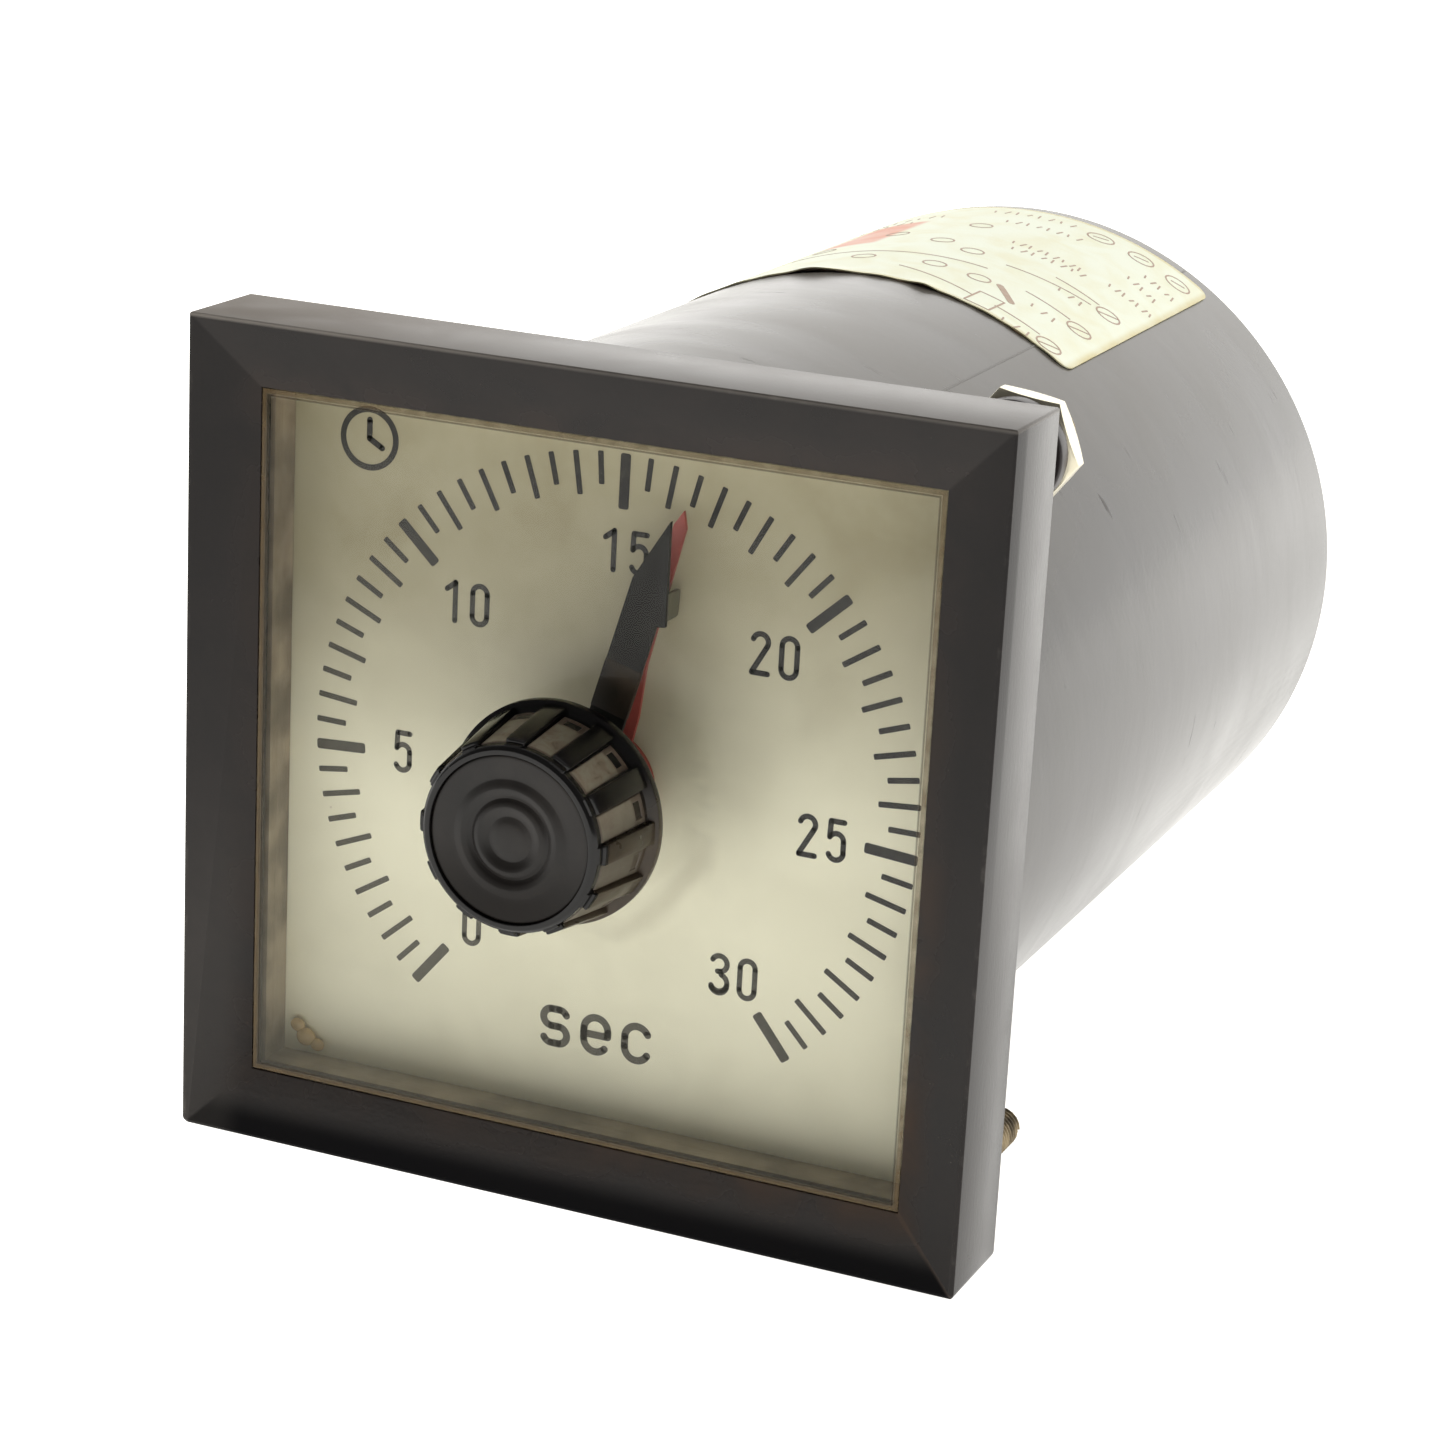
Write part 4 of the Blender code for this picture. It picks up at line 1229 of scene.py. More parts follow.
@dataclass
class Pen:
    """Draws strokes as thin slabs that stand proud of a surface."""

    width: float
    y_face: float
    y_back: float
    steps: int = 5

    def __post_init__(self) -> None:
        """Start with an empty sheet."""
        self.form = Form()

    def line(self, start: Point, end: Point) -> None:
        """Draw a straight bar with round ends.

        Args:
            start: one end as (x, z).
            end: the other end.
        """
        run, rise = end[0] - start[0], end[1] - start[1]
        middle = ((start[0] + end[0]) / 2, (start[1] + end[1]) / 2)
        bar = Form.block(
            math.hypot(run, rise) / 2, self.width / 2, self.y_face, self.y_back, middle
        )
        self.form.add(bar.turned_by(math.degrees(math.atan2(rise, run)), middle))
        for spot in (start, end):
            self.dot(spot, self.width / 2)

    def dot(self, centre: Point, radius: float) -> None:
        """Draw a filled round spot."""
        self.form.add(
            Form.prism(2 * self.steps, radius, self.y_face, self.y_back, centre, 9.0)
        )

    def arc(self, arc: Arc) -> None:
        """Draw a round stroke with round ends."""
        inner, outer = arc.radius - self.width / 2, arc.radius + self.width / 2
        profile = [
            (inner, self.y_face),
            (outer, self.y_face),
            (outer, self.y_back),
            (inner, self.y_back),
        ]
        steps = max(3, round(abs(arc.sweep) / 90 * self.steps))
        start, sweep = arc.start, arc.sweep
        if sweep < 0:
            start, sweep = start + sweep, -sweep
        ring = Form.sector(profile, start, sweep, steps)
        self.form.add(ring.moved((arc.centre[0], 0.0, arc.centre[1])))
        if sweep < 360:
            for angle in (arc.start, arc.start + arc.sweep):
                x, z = polar(arc.radius, angle)
                self.dot((arc.centre[0] + x, arc.centre[1] + z), self.width / 2)

    def glyph(self, character: str, centre: Point, scale: float = 1.0) -> None:
        """Draw one figure or letter.

        Args:
            character: which one.
            centre: its middle as (x, z).
            scale: its size against the table's.
        """

        def put(point: Point) -> Point:
            """Move a table point to its place."""
            return centre[0] + point[0] * scale, centre[1] + point[1] * scale

        for stroke in FIGURES[character]:
            if isinstance(stroke, Line):
                self.line(put(stroke.start), put(stroke.end))
            else:
                self.arc(
                    Arc(put(stroke.centre), stroke.radius * scale, stroke.start, stroke.sweep)
                )

    def word(self, text: str, centre: Point, pitch: float, scale: float = 1.0) -> None:
        """Draw characters in a row.

        Args:
            text: the characters.
            centre: middle of the row as (x, z).
            pitch: distance between characters.
            scale: their size against the table's.
        """
        for number, character in enumerate(text):
            shift = (number - (len(text) - 1) / 2) * pitch
            self.glyph(character, (centre[0] + shift, centre[1]), scale)


# ---------------------------------------------------------------- sub-assemblies


@dataclass
class Bezel:
    """Square moulded frame with mitred slopes, a cavity for the dial and stud bosses."""

    half: float = 48.0
    depth: float = 12.9
    top_corner: float = 0.3
    low_corner: float = 1.0
    slope_half: float = 47.5
    opening_half: float = 40.2
    opening_y: float = 2.4
    lip_y: float = 4.5
    cavity_half: float = 42.0
    cavity_y: float = 11.55
    seat_radius: float = 46.25
    boss_at: float = 41.0
    boss_radius: float = 4.4
    boss_end: float = 17.0
    hole_radius: float = 2.7

    def build(self) -> None:
        """Model the frame and lay it in place of the CAD node."""
        form = Form.block(self.half, self.half, 0.0, self.depth)
        form.soften(self.low_corner, 6, 60.0, lambda p: p.z < 1.0 - abs(p.x))
        form.soften(self.top_corner, 4, 60.0, lambda p: abs(p.z - abs(p.x)) < 0.1)
        form.soften(0.15, 3, 60.0)
        reach = (self.slope_half - self.opening_half) / self.opening_y
        root = math.sqrt(2)
        form.cut(
            Form.prism(
                4,
                (self.slope_half + reach) * root,
                -1.0,
                self.opening_y + 0.2,
                turn=45.0,
                end_radius=(self.opening_half - reach * 0.2) * root,
            )
        )
        form.cut(Form.block(self.opening_half, self.opening_half, -1.0, self.lip_y + 0.3))
        form.soften(
            0.16,
            2,
            30.0,
            lambda p: self.opening_half - 0.05 < max(abs(p.x), abs(p.z)) < self.slope_half + 0.05
            and p.y < self.opening_y + 0.1
            and abs(abs(p.x) - abs(p.z)) > 5.0,
        )
        form.cut(Form.block(self.cavity_half, self.cavity_half, self.lip_y, self.cavity_y))
        form.cut(
            Form.prism(128, self.seat_radius, self.cavity_y - 0.05, self.depth + 1.0, turn=1.3)
        )
        for corner in Corner:
            boss = Form.prism(
                40, self.boss_radius, self.cavity_y + 0.4, self.boss_end, corner.at(self.boss_at)
            )
            form.cut(boss.soften(0.4, 3, 60.0), Cut.JOIN)
        for corner in Corner:
            hole = Form.prism(
                24, self.hole_radius, 12.4, self.boss_end + 1.0, corner.at(self.boss_at), 4.0
            )
            form.cut(hole)
        form.piece("bezel_frame", BEZEL_PLASTIC, "casing", "bezel_plastic", ["bezel"])


@dataclass
class Window:
    """Clear cover with softened edges, a rim behind the lip and a blob of old glue."""

    half: float = 40.12
    front: float = 2.45
    rear: float = 4.2
    rim_half: float = 41.6
    rim_y: float = 4.8
    back: float = 5.6
    wall: float = 1.4
    hole_radius: float = 6.6
    surround: Point = (40.35, 41.8)
    surround_y: Point = (5.75, 10.25)
    glue_y: float = 9.7
    glue: tuple[tuple[float, float, float], ...] = (
        (-37.2, -38.2, 1.25), (-35.7, -38.9, 0.9), (-38.3, -36.9, 0.95),
    )

    def build(self) -> None:
        """Model the cover, the surround inside it and the glue."""
        form = Form.block(self.half, self.half, self.front, self.back)
        form.soften(0.1, 2, 60.0, lambda p: p.y < self.front + 0.1)
        form.cut(Form.block(self.rim_half, self.rim_half, self.rim_y, self.back), Cut.JOIN)
        hollow = self.half - self.wall
        form.cut(Form.block(hollow, hollow, self.rear, self.back + 1.0))
        form.cut(Form.prism(64, self.hole_radius, self.front - 1.0, self.rear + 1.0, turn=1.1))
        form.piece("window_cover", WINDOW_PLASTIC, "casing", "window_plastic", ["window"])

        inner, outer = self.surround
        y0, y1 = self.surround_y
        surround = Form.block(outer, outer, y0, y1)
        surround.cut(Form.block(inner, inner, y0 - 0.75, y1 + 0.75))
        surround.piece("dial_surround", SURROUND_TAN, "casing", "dial_enamel")

        blob = Form()
        for x, z, radius in self.glue:
            ball = Form()
            bmesh.ops.create_icosphere(ball.bm, subdivisions=3, radius=radius)
            bmesh.ops.scale(ball.bm, vec=(1.0, 0.5, 0.9), verts=ball.bm.verts)
            blob.add(ball.moved((x, self.glue_y, z)))
        blob.piece("glue_blob", GLUE, "casing", "dial_enamel")


class Tick(Enum):
    """Kinds of scale mark, as inner radius and width."""

    FIVE = (30.7, 1.2)
    WHOLE = (32.0, 0.65)
    HALF = (33.2, 0.65)


@dataclass
class Dial:
    """Square dial plate with a printed half-second scale, figures and its unit."""

    half: float = 41.6
    front: float = 10.4
    thick: float = 0.8
    hole_radius: float = 5.2
    ink: float = 0.035
    zero_degrees: float = 230.5
    degrees_per_second: float = 9.4
    seconds: int = 30
    outer_radius: float = 36.9

    def build(self) -> None:
        """Model the plate and its prints."""
        plate = Form.block(self.half, self.half, self.front, self.front + self.thick)
        plate.soften(0.12, 1, 60.0)
        plate.cut(Form.prism(48, self.hole_radius, 9.0, 13.0))
        plate.piece("dial_plate", DIAL_ENAMEL, "casing", "dial_enamel", ["dial"])
        self.marks()
        self.figures()

    def pen(self, width: float, steps: int = 5) -> Pen:
        """A pen whose strokes lie on the dial."""
        return Pen(width, self.front - self.ink, self.front + self.ink, steps)

    def marks(self) -> None:
        """Lay the sixty-one scale marks."""
        marks = Form()
        for half_second in range(2 * self.seconds + 1):
            kind = Tick.HALF if half_second % 2 else Tick.WHOLE
            kind = Tick.FIVE if half_second % 10 == 0 else kind
            inner, width = kind.value
            length = self.outer_radius - inner
            mark = Form.block(
                length / 2,
                width / 2,
                self.front - self.ink,
                self.front + self.ink,
                (inner + length / 2, 0.0),
            )
            mark.soften(width * 0.2, 2, 60.0, lambda p: abs(p.y - self.front) < 0.01)
            angle = self.zero_degrees - self.degrees_per_second * half_second / 2
            marks.add(mark.turned_by(angle))
        marks.piece("scale_marks", DIAL_INK, "casing", "dial_enamel")

    def figures(self) -> None:
        """Lay the figures, the unit and a plain clock sign."""
        pen = self.pen(0.62)
        places = {
            "0": (-16.4, -20.5),
            "5": (-25.8, -1.4),
            "10": (-18.4, 17.2),
            "15": (0.7, 26.0),
            "20": (18.9, 17.2),
            "25": (25.6, -2.3),
            "30": (16.1, -20.3),
        }
        for text, centre in places.items():
            pen.word(text, centre, 3.4)
        pen.form.piece("scale_figures", DIAL_INK, "casing", "dial_enamel")
        unit = self.pen(0.87, 7)
        unit.word("sec", (-0.3, -30.6), 5.1)
        unit.form.piece("unit_word", DIAL_INK, "casing", "dial_enamel")
        sign = self.pen(0.7, 9)
        sign.arc(Arc((-31.0, 34.2), 3.3, 0.0, 360.0))
        sign.line((-31.0, 34.2), (-31.0, 36.3))
        sign.line((-31.0, 34.2), (-29.4, 33.3))
        sign.form.piece("clock_sign", DIAL_INK, "casing", "dial_enamel")


@dataclass
class Knob:
    """Setting knob: black body with twelve ribs, worn inlays between them and a ringed cap."""

    face: float = -14.5
    rear: float = -2.8
    ribs: int = 12

    def build(self) -> None:
        """Model the body, the inlays and the cap."""
        face, rear = self.face, self.rear
        body = Form.turned(
            [
                (9.3, face), (9.9, face), (10.3, face + 0.4), (10.35, face + 0.9),
                (11.4, rear - 1.3), (12.6, rear - 1.0), (12.6, rear), (9.7, rear),
                (8.5, face + 3.0), (5.6, face + 3.0), (5.6, 1.7), (3.2, 1.7),
                (3.2, face + 4.2), (5.0, face + 4.2), (5.0, face + 1.6), (9.3, face + 1.6),
            ],
            120,
        )
        body.soften(0.1, 2, 25.0)
        rib = Form.sector(
            [(10.1, face + 0.9), (10.95, face + 0.95), (12.25, rear - 1.2), (11.2, rear - 0.9)],
            -5.9,
            11.8,
            4,
        )
        body.add(rib.soften(0.14, 2, 30.0).repeated(self.ribs))
        step = Form.sector(
            [(10.0, face + 0.25), (10.5, face + 0.35), (10.62, face + 1.0), (10.2, face + 1.0)],
            -5.2,
            10.4,
            3,
        )
        body.add(step.soften(0.06, 1, 30.0).repeated(self.ribs))
        body.piece("knob_body", KNOB_BLACK, "setting", "knob_black", ["knob"])

        inlay = Form.sector(
            [(10.2, -13.4), (10.47, -13.35), (11.45, -4.75), (11.0, -4.7)], 7.0, 16.0, 4
        )
        recess = Form.sector(
            [(11.1, -6.5), (12.0, -6.5), (12.0, -5.25), (11.25, -5.25)], 10.2, 9.6, 3
        )
        inlay.cut(recess)
        inlay.soften(0.07, 1, 30.0).repeated(self.ribs)
        inlay.piece("knob_inlays", KNOB_INLAY, "setting", "knob_black")

        top = face + 0.02
        cap = Form.turned(
            [
                (0.0, top + 0.16), (1.3, top + 0.2), (2.0, top + 0.34), (2.5, top + 0.56),
                (3.1, top + 0.26), (3.6, top + 0.08), (4.1, top + 0.24), (4.5, top + 0.56),
                (5.0, top + 0.24), (5.6, top + 0.06), (6.1, top + 0.22), (6.6, top + 0.44),
                (7.2, top + 0.4), (8.7, top + 0.26), (9.1, top + 0.28), (9.26, top + 0.4),
                (9.26, top + 0.95), (0.0, top + 0.95),
            ],
            96,
        )
        cap.soften(0.12, 2, 14.0)
        cap.piece("knob_face", CAP_BLACK, "setting", "cap_black", ["knob_cap"])


@dataclass
class SetPointer:
    """Black arrow on the spindle, with a tab bent back to catch the red pointer."""

    rest: float = 74.1
    front: float = 5.2
    rear: float = 5.8
    offset: float = 0.75
    half: float = 2.15
    hub: float = 6.2
    tip: float = 32.6

    def build(self) -> None:
        """Model the blade, its root sleeve and the tab."""
        edge, far = self.offset - self.half, self.offset + self.half
        blade = Form.plate(
            [(0.0, edge), (20.9, edge), (21.3, edge - 1.0), (self.tip, self.offset),
             (25.0, far), (0.0, far)],
            self.front,
            self.rear,
        )
        hub = Form.prism(48, self.hub, self.front - 0.02, self.rear + 0.02)
        blade.cut(hub, Cut.JOIN)
        blade.cut(Form.prism(32, 3.15, 3.0, 8.0, turn=2.0))
        blade.soften(0.09, 2, 45.0)
        blade.turned_by(self.rest)
        blade.piece("set_arrow", POINTER_BLACK, "setting", "pointer_black", ["set_pointer"])

        sleeve = Form.block(2.9, self.half + 0.06, self.front - 0.1, self.rear + 0.1,
                            (12.4, self.offset))
        sleeve.soften(0.08, 2, 45.0).turned_by(self.rest)
        sleeve.piece("arrow_root", POINTER_ROOT, "setting", "pointer_black")

        tab = Form.plate(
            [(21.5, edge - 0.6), (24.6, edge + 0.1), (24.5, edge + 0.55), (21.4, edge - 0.15)],
            self.front + 0.3,
            9.4,
        )
        tab.soften(0.5, 3, 45.0, lambda p: p.y > 9.3 and abs(p.x - 23.0) > 1.2)
        tab.soften(0.08, 1, 45.0).turned_by(self.rest)
        tab.piece("arrow_tab", TAB_OLIVE, "setting", "pointer_black")


@dataclass
class ElapsedPointer:
    """Slim red pointer on the clutch tube."""

    rest: float = 75.2
    front: float = 8.2
    rear: float = 8.7

    def build(self) -> None:
        """Model the needle with its flared root and hub."""
        needle = Form.plate(
            [(0.0, -2.2), (9.0, -1.9), (15.0, -1.05), (31.4, -0.75), (33.2, 0.1),
             (31.4, 0.75), (15.0, 0.95), (9.0, 1.5), (0.0, 2.0)],
            self.front,
            self.rear,
        )
        needle.cut(Form.prism(48, 6.4, self.front - 0.02, self.rear + 0.02), Cut.JOIN)
        needle.cut(Form.prism(32, 4.35, 6.0, 10.0, turn=2.0))
        needle.soften(0.08, 2, 45.0)
        needle.turned_by(self.rest)
        needle.piece("elapsed_needle", POINTER_RED, "elapsed", "pointer_red",
                     ["elapsed_pointer"])


@dataclass
class Can:
    """Deep round can with a thin mould seam."""

    radius: float = 45.9
    wall: float = 2.2
    front: float = 11.9
    rear: float = 142.0
    flange: float = 3.3
    opening: float = 41.0
    seam_at: float = 60.7

    def build(self) -> None:
        """Model the shell and the seam."""
        inner = self.radius - self.wall
        shell = Form.turned(
            [
                (self.radius, self.front), (self.radius, self.rear),
                (self.opening, self.rear), (self.opening, self.rear - self.flange),
                (inner, self.rear - self.flange), (inner, self.front),
            ],
            180,
        )
        shell.soften(1.1, 5, 60.0, lambda p: p.y > self.rear - 0.1 and math.hypot(p.x, p.z) > 45)
        shell.soften(0.4, 3, 60.0, lambda p: math.hypot(p.x, p.z) < 41.1)
        shell.piece("can_shell", CAN_RESIN, "casing", "can_phenolic", ["can"])
        seam = Form.sector(
            [(self.radius - 0.2, 13.2), (self.radius + 0.05, 13.2),
             (self.radius + 0.05, self.rear - 1.6), (self.radius - 0.2, self.rear - 1.6)],
            self.seam_at - 0.16,
            0.32,
            1,
        )
        seam.soften(0.04, 1, 45.0)
        seam.piece("can_seam", CAN_RESIN, "casing", "can_phenolic")


@dataclass
class Label:
    """Paper label bent round the can, with its front edge lifting and a faint wiring print."""

    inner: float = 45.96
    thick: float = 0.16
    front: float = 79.5
    back: float = 138.0
    arc_start: float = 125.6
    arc_end: float = 54.4
    corner: float = 2.0
    fine_stroke: float = 0.26
    heavy_stroke: float = 1.0
    blisters: tuple[tuple[float, float, float], ...] = ((21.8, 3.0, 0.42), (36.4, 1.5, 0.3))

    @property
    def width(self) -> float:
        """Length of the label round the can."""
        return math.radians(self.arc_start - self.arc_end) * (self.inner + self.thick)

    def lift(self, across: float, along: float) -> float:
        """How far the paper stands off the can near its front edge.

        Args:
            across: distance from the left end, round the can.
            along: distance from the front edge.

        Returns:
            The gap in millimetres.
        """
        near = max(0.0, 1.0 - along / 4.5) ** 2
        gap = 0.03 * (1.0 + math.sin(across * 1.3))
        for middle, width, height in self.blisters:
            gap += height * math.exp(-(((across - middle) / width) ** 2))
        return gap * near

    def wrap(self, point: Vector) -> Vector:
        """Bend a flat label point (across, height, along) onto the can."""
        across = point.x
        along = point.z
        radius = self.inner - point.y + self.lift(across, along)
        x, z = polar(radius, self.arc_start - math.degrees(across / (self.inner + self.thick)))
        return Vector((x, self.front + along, z))

    def build(self) -> None:
        """Model the paper, the adhesive that shows under it and the print."""
        length = self.back - self.front
        paper = Form.block(self.width / 2, length / 2, -self.thick, 0.0,
                           (self.width / 2, length / 2))
        paper.soften(self.corner, 5, 60.0, lambda p: abs(p.y + self.thick / 2) < 0.02)
        steps = round(self.width)
        paper.sliced((1, 0, 0), [k * self.width / steps / 2 for k in range(1, 2 * steps)])
        paper.sliced((0, 0, 1), [0.6, 1.2, 1.9, 2.7, 3.6, 4.6, 6.0])
        paper.bent(self.wrap)
        paper.piece("label_sheet", LABEL_PAPER, "casing", "label_paper", ["label"])

        strip = Form.block(self.width / 2 - 3.5, 0.75, -0.02, 0.1, (self.width / 2, 0.8))
        strip.sliced((1, 0, 0), [k / 2 for k in range(8, 2 * steps - 6)])
        strip.bent(self.ragged)
        strip.bent(self.wrap)
        strip.piece("label_adhesive", ADHESIVE, "casing", "label_paper")
        self.print_plan()

    def ragged(self, point: Vector) -> Vector:
        """Give the adhesive strip an uneven front."""
        wave = math.sin(point.x * 0.8) + 0.6 * math.sin(point.x * 2.3 + 1.0)
        shift = 0.2 * wave if point.z < 0.5 else 0.0
        sunk = 0.55 * self.lift(point.x, point.z) if point.y < 0.0 else 0.0
        return Vector((point.x, point.y + sunk, point.z - shift))

    def print_plan(self) -> None:
        """Lay the faint wiring plan: terminals, wires, a box and rows of dashes."""
        below, above = 0.05 - self.thick, -0.03 - self.thick
        pen = Pen(self.fine_stroke, above, below, 4)
        for along in (2.4, 13.8, 25.3):
            pen.arc(Arc((53.2, along), 1.75, 0.0, 360.0))
            pen.line((52.0, along - 1.1), (54.4, along + 1.1))
            pen.line((51.2, along + 1.2), (44.6, along + 1.6))
        for across in (41.5, 47.7, 53.7):
            pen.arc(Arc((across, 53.4), 1.9, 0.0, 360.0))
            pen.line((across - 0.9, 53.0), (across + 0.9, 53.9))
        for across, along in ((28.0, 28.4), (33.5, 24.7), (28.3, 42.1), (23.4, 12.4),
                              (32.8, 12.9), (39.1, 12.3), (20.0, 33.0), (14.0, 22.0)):
            pen.arc(Arc((across, along), 1.5, 0.0, 360.0))
        box = ((41.4, 1.0), (41.4, 6.8), (44.8, 6.8), (44.8, 1.0), (41.4, 1.0))
        for start, end in zip(box, box[1:]):
            pen.line(start, end)
        for start, end in (((39.0, 22.8), (50.6, 24.6)), ((30.0, 8.0), (41.4, 4.0)),
                           ((12.0, 16.0), (38.0, 18.0))):
            pen.line(start, end)
        heavy = Pen(self.heavy_stroke, above, below, 4)
        heavy.line((41.9, 12.6), (45.2, 8.2))
        pen.form.add(heavy.form)
        for start, end, count in (
            ((35.3, 35.6), (45.0, 35.0), 9), ((36.4, 32.2), (46.0, 33.4), 8),
            ((49.4, 35.8), (56.0, 35.8), 7), ((49.6, 43.1), (54.4, 41.4), 5),
            ((50.6, 47.6), (55.4, 46.8), 5), ((30.0, 47.8), (40.0, 48.4), 8),
            ((26.0, 54.3), (37.0, 54.3), 8), ((47.0, 11.6), (50.4, 11.0), 3),
            ((46.6, 23.0), (50.0, 22.4), 3), ((47.0, 0.9), (50.6, 1.0), 3),
            ((6.0, 50.0), (20.0, 50.0), 9), ((6.0, 46.0), (17.0, 46.0), 7),
        ):
            self.dashes(pen, start, end, count)
        plan = pen.form
        steps = round(self.width)
        plan.sliced((1, 0, 0), [k * self.width / steps for k in range(1, steps)])
        plan.bent(self.wrap)
        plan.piece("label_plan", LABEL_INK, "casing", "label_paper")

    def dashes(self, pen: Pen, start: Point, end: Point, count: int) -> None:
        """Draw a row of short upright dashes that reads as small print.

        Args:
            pen: the pen.
            start: first dash as (across, along).
            end: last dash.
            count: how many dashes.
        """
        for number in range(count):
            part = number / (count - 1)
            x = start[0] + (end[0] - start[0]) * part
            z = start[1] + (end[1] - start[1]) * part
            tall = 0.75 if number % 3 else 0.5
            lean = 0.25 if number % 2 else -0.2
            pen.line((x, z - tall), (x + lean, z + tall))


@dataclass
class CornerHardware:
    """Threaded studs at the corners; two of them carry a black disc and a thin hex nut."""

    at: float = 41.0
    core: float = 2.02
    crest: float = 2.4
    pitch: float = 0.7
    start: float = 12.9
    end: float = 34.0
    turns: int = 28
    disc: Point = (2.7, 5.9)
    disc_y: Point = (18.2, 20.4)
    flats: float = 11.9
    nut_bore: float = 2.5
    nut_y: Point = (20.7, 23.4)
    nut_turn: float = 22.5

    def build(self) -> None:
        """Model the studs, discs and nuts."""
        for number, corner in enumerate(Corner, start=1):
            self.stud(number, corner)
        for number, corner in enumerate((Corner.TOP_RIGHT, Corner.BOTTOM_LEFT), start=1):
            self.clamp(number, corner)

    def stud(self, number: int, corner: Corner) -> None:
        """Model one stud with a real helical thread.

        Args:
            number: its number in the CAD names.
            corner: where it stands.
        """
        place = corner.at(self.at)
        form = Form.turned(
            [(0.0, self.start), (self.core, self.start), (self.core, self.end - 0.55),
             (self.core - 0.75, self.end), (0.0, self.end)],
            32,
        )
        form.soften(0.25, 3, 30.0, lambda p: p.y > self.end - 1.0)
        half = self.pitch * 0.42
        thread = Form()
        first = self.start + half + 0.1
        face = thread.bm.faces.new(
            [
                thread.bm.verts.new((self.core - 0.1, first - half, 0.0)),
                thread.bm.verts.new((self.crest, first - 0.05, 0.0)),
                thread.bm.verts.new((self.crest, first + 0.05, 0.0)),
                thread.bm.verts.new((self.core - 0.1, first + half, 0.0)),
            ]
        )
        steps = 20 * self.turns
        bmesh.ops.spin(
            thread.bm,
            geom=[face],
            cent=(0, 0, 0),
            axis=(0, 1, 0),
            dvec=(0.0, self.pitch * self.turns / steps, 0.0),
            angle=math.tau * self.turns,
            steps=steps,
        )
        form.add(thread).moved((place[0], 0.0, place[1]))
        form.piece(f"threaded_stud_{number}", STUD_BRASS, "casing", "stud_brass",
                   [f"stud_{number}"])

    def clamp(self, number: int, corner: Corner) -> None:
        """Model one black disc and the nut behind it.

        Args:
            number: its number in the CAD names.
            corner: where it sits.
        """
        place = corner.at(self.at)
        inner, outer = self.disc
        y0, y1 = self.disc_y
        disc = Form.turned([(inner, y0), (outer, y0), (outer, y1), (inner, y1)], 64, place)
        disc.soften(0.3, 3, 60.0)
        disc.piece(f"fibre_disc_{number}", DISC_BLACK, "casing", "disc_black",
                   [f"clamp_disc_{number}"])
        y0, y1 = self.nut_y
        tip = self.flats / 2 / math.cos(math.radians(30))
        crown = self.flats / 2 - 0.15
        nut = Form.prism(6, tip, y0, y1, turn=self.nut_turn)
        dome = [(0.0, y0 - 0.1), (crown, y0 - 0.1), (tip + 0.3, y0 + 0.7),
                (tip + 0.3, y1 - 0.7), (crown, y1 + 0.1), (0.0, y1 + 0.1)]
        nut.cut(Form.turned(dome, 48), Cut.KEEP_COMMON)
        nut.cut(Form.prism(24, self.nut_bore, y0 - 0.7, y1 + 0.6, turn=3.0))
        nut.soften(0.12, 2, 35.0).moved((place[0], 0.0, place[1]))
        nut.piece(f"hex_nut_{number}", NUT_PLATING, "casing", "nut_plated",
                  [f"clamp_nut_{number}"])


@dataclass
class RearTerminals:
    """Slotted terminal screws with wire clamps, end nuts and numbered places."""

    columns: tuple[float, ...] = (-27.0, -9.0, 9.0, 27.0)
    rows: tuple[float, ...] = (14.0, -14.0)
    face: float = 138.4
    clamp_half: float = 4.1
    figure_rise: float = 8.6
    tie_rod_at: float = 36.0
    end_nut_y: Point = (138.8, 140.9)

    def build(self) -> None:
        """Model the screws, clamps, nuts and numbers."""
        clamps = Form()
        pen = Pen(0.34, self.face - 0.03, self.face + 0.12, 5)
        number = 1
        for row in self.rows:
            for column in self.columns:
                self.screw(number, (column, row))
                clamp = Form.block(self.clamp_half, self.clamp_half, self.face + 0.02,
                                   self.face + 0.3, (column, row))
                clamp.soften(0.7, 3, 60.0, lambda p: abs(p.y - self.face - 0.16) < 0.02)
                clamps.add(clamp)
                rise = math.copysign(self.figure_rise, row)
                pen.word(str(number), (-column, row + rise), 2.4, 0.62)
                number += 1
        clamps.piece("terminal_clamps", BRASS, "casing", "brass")
        numbers = pen.form
        bmesh.ops.scale(numbers.bm, vec=(-1.0, 1.0, 1.0), verts=numbers.bm.verts)
        numbers.piece("terminal_numbers", FIGURE_PAINT, "casing", "terminal_phenolic")
        y0, y1 = self.end_nut_y
        for number, side in enumerate((-self.tie_rod_at, self.tie_rod_at), start=1):
            nut = Form.prism(6, 3.7, y0, y1, turn=20.0)
            nut.cut(Form.prism(24, 2.3, y0 - 0.8, y1 + 1.1))
            nut.soften(0.2, 2, 35.0).moved((side, 0.0, 0.0))
            nut.piece(f"end_nut_{number}", NUT_PLATING, "casing", "nut_plated",
                      [f"rear_nut_{number}"])

    def screw(self, number: int, place: Point) -> None:
        """Model one cheese-head screw.

        Args:
            number: its number in the CAD names.
            place: its axis as (x, z).
        """
        screw = Form.turned(
            [(0.0, 133.9), (1.8, 133.9), (1.8, 138.75), (3.4, 138.75), (3.4, 140.5),
             (2.9, 140.95), (0.0, 141.0)],
            40,
        )
        screw.cut(Form.block(4.0, 0.42, 139.9, 142.0))
        screw.soften(0.1, 2, 40.0).turned_by(17.0 * number)
        screw.moved((place[0], 0.0, place[1]))
        screw.piece(f"slotted_screw_{number}", SCREW_PLATING, "casing", "nut_plated",
                    [f"terminal_screw_{number}"])


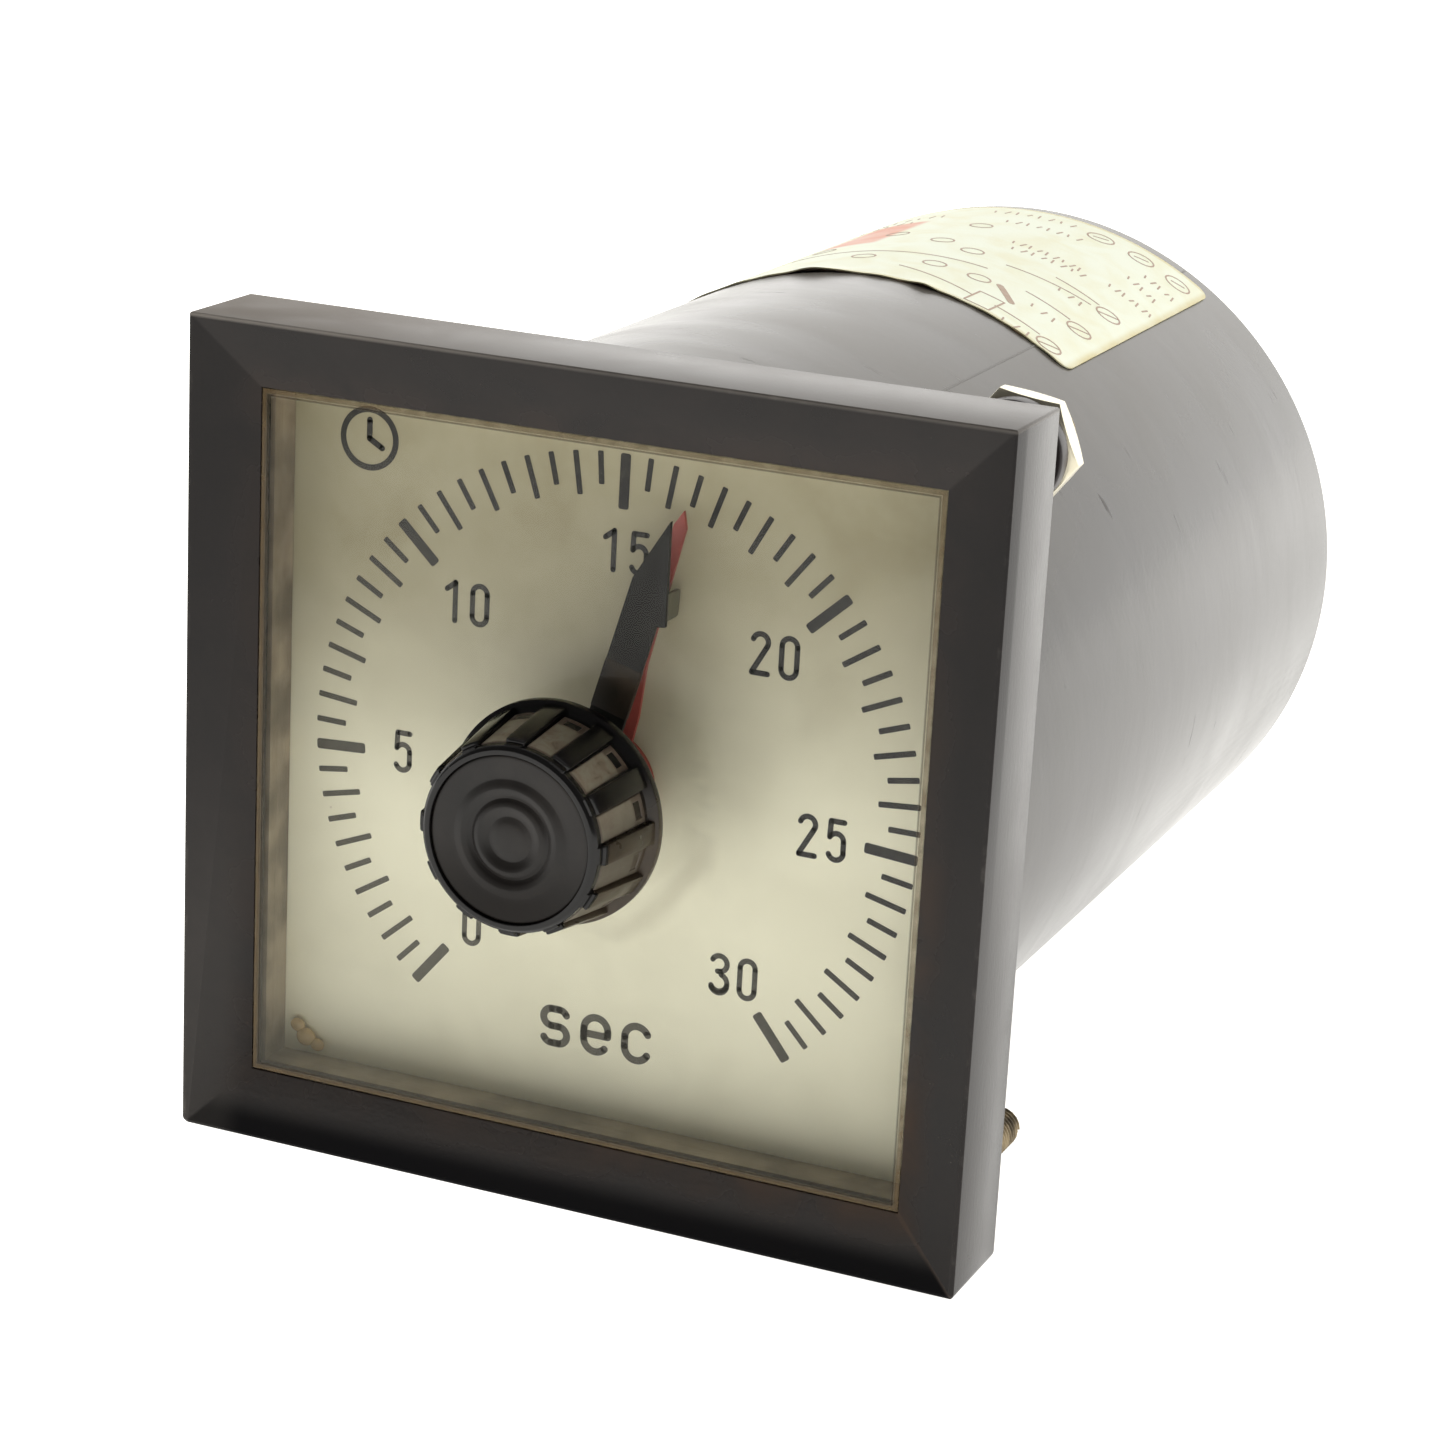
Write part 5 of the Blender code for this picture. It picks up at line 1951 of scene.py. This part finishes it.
@dataclass
class Movement:
    """CAD nodes that keep their shape and only get a finish."""

    def build(self) -> None:
        """Give each node that is still shown the finish of its slot."""
        finishes = {
            "steel": STEEL,
            "brass": BRASS,
            "copper": COPPER,
            "magnet_grey": MAGNET,
            "switch_plastic": SWITCH_BLACK,
            "terminal_phenolic": TERMINAL_RESIN,
            "spring_steel": SPRING_STEEL,
            "cap_black": SWITCH_BLACK,
        }
        slots = {
            part["node"]: part["material_slot"] for part in frame["record"]["subparts"]
        }
        for name, node in sorted(frame["nodes"].items()):
            if node.hide_render:
                continue
            node.data.materials.clear()
            node.data.materials.append(finishes[slots[name]].material())
            log.info("%s keeps its shape, finished as %s", name, slots[name])


# ---------------------------------------------------------------- studio


@dataclass
class Studio:
    """Pale light table as the floor, soft light from behind and the camera."""

    eye: Colour = (169.512, -359.878, 132.711)
    forward: Colour = (-0.367277, 0.879382, -0.302978)
    up: Colour = (-0.166399, 0.258365, 0.951609)
    lens: float = 96.397
    shift: Point = (-0.00842, 0.02422)
    front_light: float = 0.12
    back_light: float = 2.35
    table_half: float = 4000.0
    table_thick: float = 0.4
    table_drop: float = 0.7
    table_glow: float = 2.6

    def build(self) -> None:
        """Set up everything that isn't part of the object."""
        self.camera()
        self.sky()
        self.table()
        bpy.context.scene.view_settings.view_transform = "Standard"

    def camera(self) -> None:
        """Place the camera."""
        data = bpy.data.cameras.new("camera")
        data.lens = self.lens
        data.sensor_width = 36.0
        data.shift_x, data.shift_y = self.shift
        data.clip_start, data.clip_end = 0.01, 50.0
        forward = Vector(self.forward).normalized()
        right = forward.cross(Vector(self.up)).normalized()
        up = right.cross(forward)
        turn = Matrix((right, up, -forward)).transposed().to_4x4()
        camera = bpy.data.objects.new("camera", data)
        camera.matrix_world = Matrix.Translation(TO_FRAME @ Vector(self.eye)) @ turn
        bpy.context.scene.collection.objects.link(camera)
        bpy.context.scene.camera = camera

    def sky(self) -> None:
        """Light from all round, stronger from behind the object."""
        world = bpy.data.worlds.new("studio")
        world.use_nodes = True
        bpy.context.scene.world = world
        nodes, links = world.node_tree.nodes, world.node_tree.links
        where = nodes.new("ShaderNodeTexCoord")
        split = nodes.new("ShaderNodeSeparateXYZ")
        step = nodes.new("ShaderNodeMapRange")
        step.interpolation_type = "SMOOTHSTEP"
        step.inputs[1].default_value = -0.1
        step.inputs[2].default_value = 0.4
        step.inputs[3].default_value = self.front_light
        step.inputs[4].default_value = self.back_light
        links.new(where.outputs["Generated"], split.inputs[0])
        links.new(split.outputs[1], step.inputs[0])
        links.new(step.outputs[0], nodes["Background"].inputs["Strength"])
        nodes["Background"].inputs["Color"].default_value = (1.0, 0.99, 0.965, 1.0)

    def table(self) -> None:
        """Lay the pale light table that the object stands on, brightest behind it, with a painted
        shadow beside the can.
        """
        graph = Graph("light_table")
        x, y, _ = graph.axes(graph.place())
        behind = y.ramp(-90.0, 160.0)
        aside = x.ramp(60.0, 140.0)
        far = y.ramp(250.0, 700.0)
        # Painted shadow: the glow is dimmed in a patch beside the can, on its right.
        painted_shadow = x.ramp(125.0, 55.0) * x.ramp(-10.0, 30.0) * y.ramp(-70.0, -20.0)
        painted_shadow = painted_shadow * y.ramp(220.0, 120.0)
        glow = 0.5 + behind * (0.02 + 0.16 * aside) + 0.1 * far - 0.08 * painted_shadow
        graph.surface(
            {
                "Base Color": (0.45, 0.445, 0.43),
                "Roughness": 0.9,
                "Emission Color": graph.mix(glow, (0.0, 0.0, 0.0), (1.0, 0.985, 0.95)),
                "Emission Strength": self.table_glow,
            }
        )
        half = self.table_half
        form = Form.block(half, self.table_thick, -half, half)
        form.moved((0.0, 0.0, -self.table_drop - AXIS_Z / MM))
        bmesh.ops.transform(form.bm, matrix=TO_FRAME, verts=form.bm.verts)
        mesh = bpy.data.meshes.new("light_table")
        form.bm.to_mesh(mesh)
        form.bm.free()
        mesh.materials.append(graph.material)
        table = bpy.data.objects.new("light_table", mesh)
        bpy.context.scene.collection.objects.link(table)


def main() -> None:
    """Build the object and the studio."""
    logging.basicConfig(level=logging.INFO, format="%(name)s: %(message)s")
    assemblies = (
        Bezel(), Window(), Dial(), Knob(), SetPointer(), ElapsedPointer(), Can(), Label(),
        CornerHardware(), RearTerminals(), Movement(), Studio(),
    )
    for assembly in assemblies:
        log.info("building %s", type(assembly).__name__)
        assembly.build()


if __name__ == "__main__":
    main()
